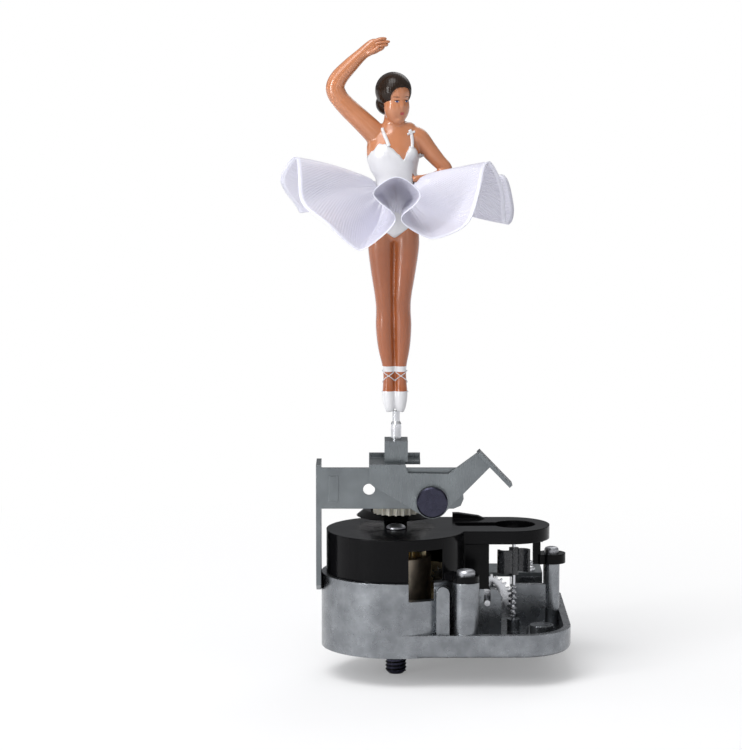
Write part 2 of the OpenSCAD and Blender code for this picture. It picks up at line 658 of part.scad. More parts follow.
module governor_fan() color("#3c3e42") translate([governor_x, governor_y, fan_z]) {
    tube(1.0, 0.35, fan_h);
    for (a = [0, 180]) rotate(a) difference() {
        translate([0, 0, 0.4]) linear_extrude(fan_h - 0.8) difference() {
            translate([fan_r / 2, 0]) circle(fan_r / 2);
            translate([fan_r / 2, 0]) circle(fan_r / 2 - 0.5);
            translate([-5, -10]) square([10, 10]);
            circle(0.9);
        }
    }
}

// --- drive up to the dancer -----------------------------------------------------

module idler_shaft() color(steel_grey) translate([0, idler_y, 0]) {
    translate([0, 0, top_gear_z - 0.4]) cylinder(r = 1, h = idler_top - top_gear_z + 0.4);
    translate([0, 0, top_gear_z]) spur(idler_pinion_teeth, train_m, gear_t, -90 + 180 / idler_pinion_teeth);
}

module idler_wheel() color(gloss_black) translate([0, idler_y, 0]) difference() {
    union() {
        translate([0, 0, idler_cone_z]) cylinder(r1 = 8.1, r2 = 6.5, h = idler_teeth_z - idler_cone_z, $fn = 96);
        translate([0, 0, idler_teeth_z - eps])
            spur(idler_wheel_teeth, dancer_m, idler_top - idler_teeth_z + eps, -90, 0.17);
    }
    cylinder(r = 1, h = 60);
}

// --- fold-down lever ---------------------------------------------------------------

arm_tip = [19.0, 37.7];
arm_back = [16.8, 40.85];
tab_len = 9.4;
tab_w = 4.6;
tab_y = lever_y - 1.4;

module lever_outline() {
    polygon([[-5.5, flange_z + lever_t], [-5.4, 34.3], [-4.5, 33.5], [3.8, 28.5],
        [pivot_x - 1.6, pivot_z - 3.0], [pivot_x + 2.4, pivot_z - 2.4], arm_tip, arm_back,
        [10.5, 36.2], [2.4, 36.3], [1.8, flange_z + lever_t]]);
    translate([pivot_x, pivot_z]) circle(3.4);
}

module fold_lever() color(steel_grey) difference() {
    union() {
        // front plate
        translate([0, lever_y + lever_t, 0]) rotate([90, 0, 0]) linear_extrude(lever_t) lever_outline();
        // top flange, resting on the bracket's top edge, and its turned-up rear lip
        translate([-5.5, lever_y + eps, flange_z]) cube([7.3, bridge_back - lever_y, lever_t]);
        translate([-5.5, bridge_back - 0.8, flange_z]) cube([10.4, 0.8, 1.7]);
        translate([1.5, -1.5, flange_z]) cube([3.4, bridge_back + 1.5, lever_t]);
        // push tab, bent square to the arm
        translate([arm_back.x, tab_y, arm_back.y])
            rotate([0, 46, 0]) translate([0, 0, -lever_t]) cube([tab_len, tab_w, lever_t]);
    }
    along_y(pivot_x, lever_y - 1, pivot_z) cylinder(r = pivot_r + run, h = 3);
    translate([0, 0, flange_z - 1]) cylinder(r = spindle_r + run, h = 3);
}

module spindle_bridge() color(steel_grey) translate([0, 0, flange_z + lever_t]) difference() {
    h = bridge_z + lever_t - flange_z - lever_t;
    translate([-bridge_half, bridge_front, 0]) cube([2 * bridge_half, bridge_back - 0.8 - bridge_front, h]);
    translate([-bridge_half - 1, bridge_front + lever_t, -1])
        cube([2 * bridge_half + 2, bridge_back - 0.8 - bridge_front - 2 * lever_t, h - lever_t + 1]);
    cylinder(r = spindle_r + run, h = 20);
}

// --- spindle and dancer --------------------------------------------------------------

module spindle() color("silver") translate([0, 0, spindle_gear_z - 0.5])
    cylinder(r = spindle_r, h = feet_z - spindle_gear_z + 0.5);

module spindle_sleeve() color("silver") translate([0, 0, bridge_z + lever_t + seat]) difference() {
    rotate_extrude() polygon([[0, 0], [1.05, 0], [1.05, 3], [0.8, 3.5], [0, 3.5]]);
    translate([0, 0, -1]) cylinder(r = spindle_r, h = 8);
}

module spindle_gear() color(nylon_tone) translate([0, 0, spindle_gear_z]) difference() {
    union() {
        spur(spindle_teeth, dancer_m, spindle_gear_t, 90 + 180 / spindle_teeth, 0.17);
        cylinder(r = 2 * spindle_r, h = spindle_gear_t + 0.8);
    }
    translate([0, 0, -1]) cylinder(r = spindle_r, h = 8);
}

module spindle_collar() color(steel_grey) translate([0, 0, bridge_z - seat - 0.8]) tube(1.4, spindle_r, 0.8);

// A limb through balls, each [x, y, z, half width, half depth]
module ball(row) translate([row[0], row[1], row[2]]) scale([row[3], row[4], row[3]]) sphere(1, $fn = 12);
module limb(rows) for (i = [0:len(rows) - 2]) hull() {
    ball(rows[i]);
    ball(rows[i + 1]);
}

// The dancer is one moulding, drawn at its own feet and 71 mm tall
figure_scale = figure_h / 71;

module ballerina() color("#c98a5c") translate([0, 0, feet_z]) scale(figure_scale) {
    // legs, side by side on the points of the shoes
    limb([[-1.3, 0, 1, 1, 1], [-1.5, 0, 3.6, 1.35, 1.35], [-1.5, 0, 6.6, 1.15, 1.2], [-1.6, 0, 9.4, 1.3, 1.35],
        [-2.5, 0.4, 16.5, 2, 2.1], [-2.9, 0.2, 23, 2.15, 2.15], [-3, 0, 36, 2.75, 2.8]]);
    limb([[0.9, 0, 1, 1, 1], [1, 0, 3.6, 1.35, 1.35], [1, 0, 6.6, 1.15, 1.2], [1, 0, 9.4, 1.3, 1.35],
        [1.5, 0.4, 16.5, 2, 2.1], [1.8, 0.2, 23, 2.15, 2.15], [2, 0, 36, 2.7, 2.8]]);
    // hips, waist, chest and neck
    limb([[-0.5, 0, 37.5, 4.8, 3.4], [-0.3, 0, 42, 4.4, 3.2], [0, 0, 47, 4, 2.9], [-0.4, -0.1, 52, 4.9, 3.4],
        [-0.2, 0, 55, 4.4, 2.6]]);
    limb([[-4, 0.1, 56, 1.9, 1.8], [3.4, 0.1, 56, 1.9, 1.8]]);
    limb([[-0.5, 0.2, 56, 2.4, 2], [-0.6, 0.2, 60, 1.7, 1.7]]);
    // head, hair and knot
    ball([-0.2, -0.7, 62, 2.6, 2.7]);
    ball([-0.6, 0.3, 64.7, 3.7, 4]);
    ball([-1.6, 3.6, 65.4, 1.8, 1.8]);
    // raised arm
    limb([[-4.2, 0, 55.8, 2.2, 2], [-7, 0, 58.6, 2, 1.9], [-11.4, 0, 64, 1.7, 1.7], [-12.2, 0, 67, 1.5, 1.5],
        [-10.6, 0, 70, 1.3, 1.3], [-6.6, 0, 72, 0.95, 0.95], [-4.7, 0, 73.3, 1.5, 0.8], [-2.5, 0, 73.5, 0.9, 0.6]]);
    // arm with its hand on the waist
    limb([[4, 0.2, 55.6, 2, 1.9], [6.2, 0.6, 53.2, 1.8, 1.7], [9.8, 1.1, 49.2, 1.5, 1.4],
        [7.6, 0.2, 47.9, 1.1, 1.1], [4.6, -1, 47.5, 0.9, 0.9]]);
}

// Gathered ribbon skirt: a closed sheet from the waist to a hem that rolls in
// deep open folds. Each hem point is [x, y, rise above the waist], from the left
// side round the front to the right and the back.
tutu_t = 0.5;
tutu_z = 45.4;
tutu_hub = [4.3, 3.25];   // half width and half depth of the waist
tutu_rings = 5;
tutu_steps = 2;
hem = [
    [-20.5, 7, -4], [-23.5, 1, 1.4], [-20.3, -4.5, 6.5], [-19.5, -10.5, 3.1], [-18.8, -13.2, -2.4],
    [-13.9, -17, -6], [-8.8, -18.7, -10.4], [-6, -19, -10.7], [-0.5, -19.5, -5.2], [-3.8, -19, -1.5],
    [-4.5, -18.6, 0.6], [0, -18.5, 3.3], [4.4, -18.6, 0.3], [3.7, -19, -2.1], [0.9, -19.5, -5.1],
    [5.2, -19, -8.4], [8.4, -18.6, -8.7], [13.9, -16.4, -6.1], [16.2, -13, -0.4], [17.6, -8, 4.8],
    [19.1, -5, 5], [21.7, 1, -0.6], [22.3, 5, -7.4], [23.6, 7, -7.4], [24, 9, -4.1], [22, 13, 2],
    [16.2, 16.2, -2.8], [12.8, 17.6, -6.8], [9.4, 18.4, -7.8], [5.8, 18.4, -0.4], [0.6, 18.2, 4.6],
    [-4, 18.5, -2], [-6.4, 18.6, -6.6], [-9.8, 18.2, -8.2], [-13.6, 16.2, -1], [-15.6, 14.6, 3],
    [-18.2, 12.4, 2.2], [-19.2, 9, -5.6]
];
// Angle at the waist against the number of the hem point
gather = [[0, 172], [3, 205], [7, 242], [11, 270], [16, 297], [20, 330], [25, 385], [30, 450], [38, 532]];
hem_n = len(hem);

function hem_between(p, t) =
    0.5 * (2 * p[1] + (p[2] - p[0]) * t + (2 * p[0] - 5 * p[1] + 4 * p[2] - p[3]) * t * t
        + (3 * p[1] - p[0] - 3 * p[2] + p[3]) * t * t * t);
function hem_at(u) =
    let (i = floor(u)) hem_between([for (k = [-1:2]) hem[(i + k + hem_n) % hem_n]], u - i);
// Point of the sheet's middle; v runs from 0 at the waist to 1 at the hem
function cloth(u, v) =
    let (w = (u + hem_n) % hem_n, a = lookup(w, gather), h = hem_at(w), s = tutu_r / 23.5,
         x = tutu_hub.x * cos(a), y = tutu_hub.y * sin(a), f = pow(v, 1.5))
    [x + (h.x * s - x) * f, y + (h.y * s - y) * f, h.z * pow(f, 0.5)];
function cloth_normal(u, v) =
    let (n = cross(cloth(u, v + 0.02) - cloth(u, v - 0.02), cloth(u + 0.15, v) - cloth(u - 0.15, v))) n / norm(n);

module tutu() color("white") translate([0, 0, feet_z + tutu_z * figure_scale]) {
    n = hem_n * tutu_steps;
    m = tutu_rings;
    mid = [for (j = [0:m], i = [0:n - 1]) cloth(i / tutu_steps, j / m)];
    out = [for (j = [0:m], i = [0:n - 1]) cloth_normal(i / tutu_steps, min(0.98, max(0.06, j / m))) * tutu_t / 2];
    points = concat(mid + out, mid - out);
    low = n * (m + 1);
    top = [for (j = [0:m - 1], i = [0:n - 1]) let (k = (i + 1) % n)
        [j * n + i, j * n + k, (j + 1) * n + k, (j + 1) * n + i]];
    bottom = [for (f = top) [f[3] + low, f[2] + low, f[1] + low, f[0] + low]];
    inner = [for (i = [0:n - 1]) let (k = (i + 1) % n) [i, i + low, k + low, k]];
    outer = [for (i = [0:n - 1]) let (k = (i + 1) % n, b = m * n) [b + k, b + k + low, b + i + low, b + i]];
    polyhedron(points, concat(top, bottom, inner, outer), convexity = 10);
}

// --- every node, one line each ----------------------------------------------------------

base_casting();
cover();
cover_screws();
centre_rivet();
bearing_plate_front();
bearing_plate_rear();
bearing_screws();
comb();
comb_screws();
transfer_stud();
governor_bridge();
support_bracket();
bracket_screw();
pivot_pin();
pivot_washer();
return_spring();
great_wheel();
spring_drum();
drum_top_gear();
mainspring();
winding_shaft();
transfer_wheel();
music_cylinder();
cylinder_arbor();
cylinder_wheel();
worm_wheel();
worm_arbor();
governor_worm();
governor_fan();
idler_shaft();
idler_wheel();
fold_lever();
spindle_bridge();
spindle();
spindle_sleeve();
spindle_gear();
spindle_collar();
ballerina();
tutu();
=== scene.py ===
import bpy
import bmesh
import json
import math
from mathutils import Matrix, Vector
from mathutils.bvhtree import BVHTree


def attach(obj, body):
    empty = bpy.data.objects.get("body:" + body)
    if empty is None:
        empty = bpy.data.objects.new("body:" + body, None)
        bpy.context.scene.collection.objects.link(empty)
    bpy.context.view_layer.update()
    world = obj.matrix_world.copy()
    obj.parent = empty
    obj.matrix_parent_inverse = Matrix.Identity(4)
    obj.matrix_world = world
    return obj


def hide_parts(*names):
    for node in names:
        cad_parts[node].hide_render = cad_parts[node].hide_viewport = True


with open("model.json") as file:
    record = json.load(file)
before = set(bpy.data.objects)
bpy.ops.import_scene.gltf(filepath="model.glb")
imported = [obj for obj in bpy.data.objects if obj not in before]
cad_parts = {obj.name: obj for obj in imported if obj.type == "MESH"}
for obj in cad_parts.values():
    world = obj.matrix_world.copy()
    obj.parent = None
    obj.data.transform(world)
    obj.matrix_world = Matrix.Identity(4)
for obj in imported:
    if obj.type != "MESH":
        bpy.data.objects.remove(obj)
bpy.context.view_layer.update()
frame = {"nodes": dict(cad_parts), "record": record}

# --- Camera, floor and light ---
# The camera stands in front of the movement and looks down on it a little.
# The floor is one pale plane just under the winding shaft. Lamps and a sky that
# brightens upwards light the pieces, and the camera sees plain white behind them.

MM = 0.001
LENS = 142.56
SENSOR = 36
CAMERA_PLACE = (-0.0051, -0.597, 0.1316)
CAMERA_TILT = 82.72  # degrees up from looking straight down
FLOOR_Z = -6.25 * MM
FLOOR_HALF = 60.0
FLOOR_COLOR = (0.86, 0.86, 0.87)
FLOOR_ROUGH = 0.85
# distances from the winding shaft between which the floor turns plain white
SHADOW_NEAR, SHADOW_FAR = 0.05, 0.22
WHITE_NEAR, WHITE_FAR = 0.25, 1.0
BEVEL_SAMPLES = 6

cam_data = bpy.data.cameras.new("camera")
cam_data.lens = LENS
cam_data.sensor_width = SENSOR
cam_data.clip_start = 0.02
cam_data.clip_end = 200
camera = bpy.data.objects.new("camera", cam_data)
camera.location = CAMERA_PLACE
camera.rotation_euler = (math.radians(CAMERA_TILT), 0, 0)
bpy.context.scene.collection.objects.link(camera)
bpy.context.scene.camera = camera
bpy.context.scene.view_settings.view_transform = "Standard"


def new_material(name, color, roughness, metallic=0.0):
    """A principled material; returns it with its node tree and shader."""
    mat = bpy.data.materials.new(name)
    mat.use_nodes = True
    nodes = mat.node_tree.nodes
    shader = nodes["Principled BSDF"]
    shader.inputs["Base Color"].default_value = (*color, 1)
    shader.inputs["Roughness"].default_value = roughness
    shader.inputs["Metallic"].default_value = metallic
    return mat, mat.node_tree, shader


def object_coords(tree, scale=(1, 1, 1)):
    """Place on the piece, in metres, stretched by scale."""
    coords = tree.nodes.new("ShaderNodeTexCoord")
    mapping = tree.nodes.new("ShaderNodeMapping")
    mapping.inputs["Scale"].default_value = scale
    tree.links.new(coords.outputs["Object"], mapping.inputs["Vector"])
    return mapping.outputs["Vector"]


def noise(tree, vector, scale, detail=3.0, rough=0.5):
    """Cloudy grey pattern; a larger scale is finer."""
    tex = tree.nodes.new("ShaderNodeTexNoise")
    tex.inputs["Scale"].default_value = scale
    tex.inputs["Detail"].default_value = detail
    tex.inputs["Roughness"].default_value = rough
    tree.links.new(vector, tex.inputs["Vector"])
    return tex.outputs["Fac"]


def ramp(tree, fac, stops):
    """Colour ramp over fac; stops are (position, colour)."""
    node = tree.nodes.new("ShaderNodeValToRGB")
    points = node.color_ramp.elements
    while len(points) < len(stops):
        points.new(0.5)
    for point, (place, color) in zip(points, stops):
        point.position = place
        point.color = (*color, 1)
    tree.links.new(fac, node.inputs["Fac"])
    return node.outputs["Color"]


def remap(tree, fac, low, high):
    """Spreads the middle of a noise over low to high."""
    node = tree.nodes.new("ShaderNodeMapRange")
    node.inputs["From Min"].default_value = 0.3
    node.inputs["From Max"].default_value = 0.7
    node.inputs["To Min"].default_value = low
    node.inputs["To Max"].default_value = high
    tree.links.new(fac, node.inputs["Value"])
    return node.outputs["Result"]


def bump(tree, shader, height, distance, strength, soft_edge=0.0):
    """Bump from height, distance mm deep; soft_edge mm rounds the look of sharp edges."""
    node = tree.nodes.new("ShaderNodeBump")
    if soft_edge:
        edge = tree.nodes.new("ShaderNodeBevel")
        edge.samples = BEVEL_SAMPLES
        edge.inputs["Radius"].default_value = soft_edge * MM
        tree.links.new(edge.outputs["Normal"], node.inputs["Normal"])
    node.inputs["Strength"].default_value = strength
    node.inputs["Distance"].default_value = distance * MM
    tree.links.new(height, node.inputs["Height"])
    tree.links.new(node.outputs["Normal"], shader.inputs["Normal"])


def add_floor():
    """Pale floor; away from the object the camera sees plain white, and its shadow stays."""
    bm = bmesh.new()
    bmesh.ops.create_grid(bm, x_segments=1, y_segments=1, size=FLOOR_HALF)
    bmesh.ops.translate(bm, vec=(0, 0, FLOOR_Z), verts=bm.verts)
    mesh = bpy.data.meshes.new("floor")
    bm.to_mesh(mesh)
    bm.free()
    floor = bpy.data.objects.new("floor", mesh)
    bpy.context.scene.collection.objects.link(floor)
    mat, tree, shader = new_material("floor_mat", FLOOR_COLOR, FLOOR_ROUGH)
    at = object_coords(tree)
    bump(tree, shader, noise(tree, at, 60), 0.05, 0.2)
    far = tree.nodes.new("ShaderNodeVectorMath")
    far.operation = "LENGTH"
    tree.links.new(at, far.inputs[0])
    fade = tree.nodes.new("ShaderNodeMapRange")
    fade.inputs["From Min"].default_value = SHADOW_NEAR
    fade.inputs["From Max"].default_value = SHADOW_FAR
    fade.inputs["To Min"].default_value = WHITE_NEAR
    fade.inputs["To Max"].default_value = WHITE_FAR
    tree.links.new(far.outputs["Value"], fade.inputs["Value"])
    paths = tree.nodes.new("ShaderNodeLightPath")
    share = tree.nodes.new("ShaderNodeMath")
    share.operation = "MULTIPLY"
    tree.links.new(fade.outputs["Result"], share.inputs[0])
    tree.links.new(paths.outputs["Is Camera Ray"], share.inputs[1])
    glow = tree.nodes.new("ShaderNodeEmission")
    blend = tree.nodes.new("ShaderNodeMixShader")
    tree.links.new(share.outputs["Value"], blend.inputs["Fac"])
    tree.links.new(shader.outputs["BSDF"], blend.inputs[1])
    tree.links.new(glow.outputs["Emission"], blend.inputs[2])
    tree.links.new(blend.outputs["Shader"], tree.nodes["Material Output"].inputs["Surface"])
    mesh.materials.append(mat)


add_floor()


def area_light(name, place, target, size, power):
    """White lamp of the given width and height (m), aimed at target."""
    data = bpy.data.lights.new(name, "AREA")
    data.shape = "RECTANGLE"
    data.size, data.size_y = size
    data.energy = power
    obj = bpy.data.objects.new(name, data)
    obj.location = place
    aim = Vector(target) - Vector(place)
    obj.rotation_euler = aim.to_track_quat("-Z", "Y").to_euler()
    bpy.context.scene.collection.objects.link(obj)


SUN_STRENGTH = 1.6
SUN_WIDTH = 35  # degrees across, for a soft shadow
SUN_TILT = (20, -16, 0)
SKY_STRENGTH = 0.46

area_light("key", (-0.45, -0.55, 0.65), (0, 0, 0.06), (0.45, 0.45), 2.0)
area_light("fill", (0.65, -0.5, 0.35), (0, 0, 0.05), (0.5, 0.6), 0.4)
area_light("rim", (0.25, 0.6, 0.55), (0, 0, 0.07), (0.5, 0.4), 0.9)
area_light("left_strip", (-0.6, 0.15, 0.2), (0, 0, 0.04), (0.1, 0.7), 0.5)
area_light("cheek_strip", (-0.55, -0.46, 0.12), (0, 0, 0.02), (0.05, 0.5), 2.4)
area_light("front_strip", (0.16, -0.75, 0.1), (0, 0, 0.03), (0.06, 0.5), 0.25)
sun_data = bpy.data.lights.new("soft_sun", "SUN")
sun_data.energy = SUN_STRENGTH
sun_data.angle = math.radians(SUN_WIDTH)
sun = bpy.data.objects.new("soft_sun", sun_data)
sun.rotation_euler = [math.radians(turn) for turn in SUN_TILT]
bpy.context.scene.collection.objects.link(sun)

world = bpy.data.worlds.new("studio")
bpy.context.scene.world = world
world.use_nodes = True
sky_tree = world.node_tree
back = sky_tree.nodes["Background"]
coords = sky_tree.nodes.new("ShaderNodeTexCoord")
split = sky_tree.nodes.new("ShaderNodeSeparateXYZ")
sky_tree.links.new(coords.outputs["Generated"], split.inputs["Vector"])
sky = ramp(sky_tree, split.outputs["Z"], [
    (0.0, (0.16, 0.165, 0.18)), (0.25, (0.50, 0.51, 0.53)), (0.8, (1.0, 1.0, 1.0))])
sky_tree.links.new(sky, back.inputs["Color"])
back.inputs["Strength"].default_value = SKY_STRENGTH
paths = sky_tree.nodes.new("ShaderNodeLightPath")
white = sky_tree.nodes.new("ShaderNodeBackground")
white.inputs["Color"].default_value = (1, 1, 1, 1)
white.inputs["Strength"].default_value = 1.0
mix = sky_tree.nodes.new("ShaderNodeMixShader")
sky_tree.links.new(paths.outputs["Is Camera Ray"], mix.inputs["Fac"])
sky_tree.links.new(back.outputs["Background"], mix.inputs[1])
sky_tree.links.new(white.outputs["Background"], mix.inputs[2])
sky_tree.links.new(mix.outputs["Shader"], sky_tree.nodes["World Output"].inputs["Surface"])

# --- Finishes of the movement ---
# Cast zinc, gloss black moulding, rolled steel, turned steel, brass, nylon and
# smoked plastic. Each finish goes on every metal or plastic piece it belongs to.


def cast_zinc():
    mat, tree, shader = new_material("zinc_casting", (0.5, 0.52, 0.54), 0.3, 0.95)
    at = object_coords(tree)
    blotch = noise(tree, at, 260, 4, 0.6)
    tree.links.new(ramp(tree, blotch, [
        (0.28, (0.17, 0.18, 0.193)), (0.5, (0.225, 0.237, 0.252)),
        (0.75, (0.30, 0.316, 0.333))]), shader.inputs["Base Color"])
    tree.links.new(remap(tree, noise(tree, at, 420, 3), 0.23, 0.33), shader.inputs["Roughness"])
    bump(tree, shader, noise(tree, at, 700, 4, 0.6), 0.07, 0.4, 0.15)
    return mat


def rolled_steel(name, dark, light, rough):
    mat, tree, shader = new_material(name, light, rough, 0.9)
    cloud = noise(tree, object_coords(tree), 180, 3)
    tree.links.new(ramp(tree, cloud, [(0.32, dark), (0.68, light)]), shader.inputs["Base Color"])
    grain = noise(tree, object_coords(tree, (1, 1, 0.06)), 5200, 2)
    tree.links.new(remap(tree, grain, rough - 0.06, rough + 0.08), shader.inputs["Roughness"])
    bump(tree, shader, grain, 0.02, 0.12, 0.12)
    return mat


def turned_metal(name, color, rough):
    mat, tree, shader = new_material(name, color, rough, 1.0)
    cloud = noise(tree, object_coords(tree), 700, 3)
    dim = tuple(c * 0.72 for c in color)
    tree.links.new(ramp(tree, cloud, [(0.3, dim), (0.7, color)]), shader.inputs["Base Color"])
    tree.links.new(remap(tree, cloud, rough, rough + 0.14), shader.inputs["Roughness"])
    return mat


def gloss_moulding():
    mat, tree, shader = new_material("black_plastic", (0.0035, 0.0035, 0.004), 0.14)
    at = object_coords(tree)
    tree.links.new(remap(tree, noise(tree, at, 300, 4), 0.12, 0.22), shader.inputs["Roughness"])
    shader.inputs["Specular IOR Level"].default_value = 0.09
    bump(tree, shader, noise(tree, at, 240, 2), 0.3, 0.12, 0.35)
    return mat


def nylon():
    mat, tree, shader = new_material("natural_nylon", (0.70, 0.67, 0.58), 0.45)
    shader.inputs["Subsurface Weight"].default_value = 0.15
    shader.inputs["Subsurface Radius"].default_value = (0.001, 0.0008, 0.0006)
    cloud = noise(tree, object_coords(tree), 500, 2)
    tree.links.new(ramp(tree, cloud, [
        (0.3, (0.50, 0.48, 0.42)), (0.7, (0.72, 0.70, 0.62))]), shader.inputs["Base Color"])
    return mat


def smoked():
    mat, tree, shader = new_material("smoke_plastic", (0.05, 0.052, 0.058), 0.2)
    shader.inputs["Transmission Weight"].default_value = 0.35
    cloud = noise(tree, object_coords(tree), 900, 3)
    tree.links.new(remap(tree, cloud, 0.15, 0.35), shader.inputs["Roughness"])
    return mat


FINISH = {
    "zinc_casting": cast_zinc(),
    "black_plastic": gloss_moulding(),
    "zinc_plated_steel": rolled_steel(
        "zinc_plated_steel", (0.165, 0.18, 0.19), (0.21, 0.23, 0.24), 0.34),
    "bright_steel": turned_metal("bright_steel", (0.72, 0.73, 0.76), 0.16),
    "black_steel": turned_metal("black_steel", (0.05, 0.05, 0.075), 0.22),
    "brass": turned_metal("brass", (0.62, 0.52, 0.33), 0.28),
    "natural_nylon": nylon(),
    "smoke_plastic": smoked(),
}
# The lever with its bridge, the rivet with the cover's screws, and the drum each have a
# tone of their own within their slot's metal.
LEVER_STEEL = rolled_steel("lever_steel", (0.17, 0.185, 0.195), (0.21, 0.23, 0.24), 0.30)
RIVET_STEEL = turned_metal("rivet_steel", (0.50, 0.51, 0.54), 0.34)
DRUM_METAL = turned_metal("drum_metal", (0.56, 0.48, 0.38), 0.40)

for row in frame["record"]["subparts"]:
    if row["material_slot"] in FINISH:
        mesh = frame["nodes"][row["node"]].data
        for i in range(len(mesh.materials)):
            mesh.materials[i] = FINISH[row["material_slot"]]
for node in ("fold_lever", "spindle_bridge"):
    frame["nodes"][node].data.materials[0] = LEVER_STEEL
frame["nodes"]["spring_drum"].data.materials[0] = DRUM_METAL
for node in ("centre_rivet", "cover_screws"):
    frame["nodes"][node].data.materials[0] = RIVET_STEEL

# --- Thread on the winding shaft ---
# A screw thread is cut round the black stub of the shaft, below the base.
# The key or an extension screws on to it.


def new_object(name, bm, materials):
    """Smooth object from bm, with its faces pointing outwards; bm is used up."""
    mesh = bpy.data.meshes.new(name)
    bmesh.ops.recalc_face_normals(bm, faces=bm.faces)
    bm.to_mesh(mesh)
    bm.free()
    for mat in materials:
        mesh.materials.append(mat)
    for face in mesh.polygons:
        face.use_smooth = True
    obj = bpy.data.objects.new(name, mesh)
    bpy.context.scene.collection.objects.link(obj)
    return obj


def spline(rows, steps):
    """Catmull-Rom through rows of numbers, with steps points to each span."""
    out = []
    for i in range(len(rows) - 1):
        a, b = rows[max(i - 1, 0)], rows[i]
        c, d = rows[i + 1], rows[min(i + 2, len(rows) - 1)]
        for k in range(steps):
            t = k / steps
            out.append([0.5 * (2 * q + (r - p) * t + (2 * p - 5 * q + 4 * r - s) * t * t
                               + (3 * q - p - 3 * r + s) * t ** 3)
                        for p, q, r, s in zip(a, b, c, d)])
    out.append(list(rows[-1]))
    return out


def sweep(bm, rows, sides, side_axis):
    """Tube through rows of x, y, z, half width, half depth; depth lies towards side_axis."""
    centres = [Vector(row[:3]) for row in rows]
    rings = []
    for i, row in enumerate(rows):
        along = centres[min(i + 1, len(rows) - 1)] - centres[max(i - 1, 0)]
        across = Vector(side_axis).cross(along).normalized()
        deep = along.normalized().cross(across)
        ring = []
        for k in range(sides):
            turn = 2 * math.pi * k / sides
            ring.append(bm.verts.new(centres[i] + across * row[3] * math.cos(turn)
                                     + deep * row[4] * math.sin(turn)))
        rings.append(ring)
    for low, high in zip(rings, rings[1:]):
        for k in range(sides):
            n = (k + 1) % sides
            bm.faces.new((low[k], low[n], high[n], high[k]))
    bm.faces.new(rings[0][::-1])
    bm.faces.new(rings[-1])


THREAD_TURNS = 7
THREAD_PITCH = 0.75
THREAD_LOW = -5.75  # height of the thread's lower end
THREAD_ROOT = 1.9
THREAD_RISE = 0.1
RIDGE_HALF = 0.17
TURN_STEPS = 24
RUN_OUT = 12  # steps over which the ridge sinks away at each end
bm = bmesh.new()
thread = []
last_step = THREAD_TURNS * TURN_STEPS
for i in range(last_step + 1):
    turn = 2 * math.pi * i / TURN_STEPS
    fade = min(1, i / RUN_OUT, (last_step - i) / RUN_OUT)
    r = THREAD_ROOT + THREAD_RISE * fade
    thread.append([r * math.cos(turn) * MM, r * math.sin(turn) * MM,
                   (THREAD_LOW + THREAD_PITCH * turn / (2 * math.pi)) * MM,
                   RIDGE_HALF * MM, RIDGE_HALF * MM])
sweep(bm, thread, 6, (0, 0, 1))
shaft_thread = new_object("shaft_thread", bm, [FINISH["black_plastic"]])
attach(shaft_thread, "winding")

# --- Ballerina: painted moulding ---
# A hollow plastic moulding, painted by hand. Swept limbs, trunk and head melt
# into one smooth body, then the white shoes and ankle bands are painted on.
# Heights are counted from the soles of the shoes.

FEET = 48.0
SKIN_VOXEL = 0.2
# heights between which the painted shade on the legs, standing in for the skirt's shadow, fades away
LEG_TOP, HIP = 80, 92


def at_feet(x, y, z):
    """Point in mm from the middle of the feet, as a place in the frame."""
    return Vector((x * MM, y * MM, (z + FEET) * MM))


def figure_tube(bm, rows, sides=24, steps=5):
    """Limb or trunk through rows of x, y, height, half width and half depth (mm)."""
    path = [[x * MM, y * MM, (z + FEET) * MM, a * MM, b * MM]
            for x, y, z, a, b in spline(rows, steps)]
    sweep(bm, path, sides, (0, 1, 0))


def egg(bm, place, radii, turn=0.0):
    """Ellipsoid with its half axes in radii, turned about the upright axis."""
    spin = Matrix.Rotation(turn, 4, "Z") @ Matrix.Diagonal((*[r * MM for r in radii], 1))
    bmesh.ops.create_uvsphere(bm, u_segments=32, v_segments=20, radius=1,
                              matrix=Matrix.Translation(at_feet(*place)) @ spin)


def paint(name, color, roughness, coat, skirt_shade_tint=None):
    """Glossy paint; the optional tint darkens the colour below the waist with painted shade, as if the
    skirt shadowed it.
    """
    mat, tree, shader = new_material(name, color, roughness)
    shader.inputs["Coat Weight"].default_value = coat
    shader.inputs["Coat Roughness"].default_value = 0.12
    cloud = noise(tree, object_coords(tree), 160, 3)
    dim = tuple(c * 0.86 for c in color)
    tone = ramp(tree, cloud, [(0.32, dim), (0.66, color)])
    # painted shade: the colour below the waist is darkened as if the skirt shadowed it
    if skirt_shade_tint:
        height = tree.nodes.new("ShaderNodeSeparateXYZ")
        tree.links.new(object_coords(tree), height.inputs["Vector"])
        fade = tree.nodes.new("ShaderNodeMapRange")
        fade.inputs["From Min"].default_value = LEG_TOP * MM
        fade.inputs["From Max"].default_value = HIP * MM
        tree.links.new(height.outputs["Z"], fade.inputs["Value"])
        tint = ramp(tree, fade.outputs["Result"], [(0.0, skirt_shade_tint), (1.0, (1, 1, 1))])
        shaded_tone = tree.nodes.new("ShaderNodeVectorMath")
        shaded_tone.operation = "MULTIPLY"
        tree.links.new(tone, shaded_tone.inputs[0])
        tree.links.new(tint, shaded_tone.inputs[1])
        tone = shaded_tone.outputs["Vector"]
    tree.links.new(tone, shader.inputs["Base Color"])
    return mat


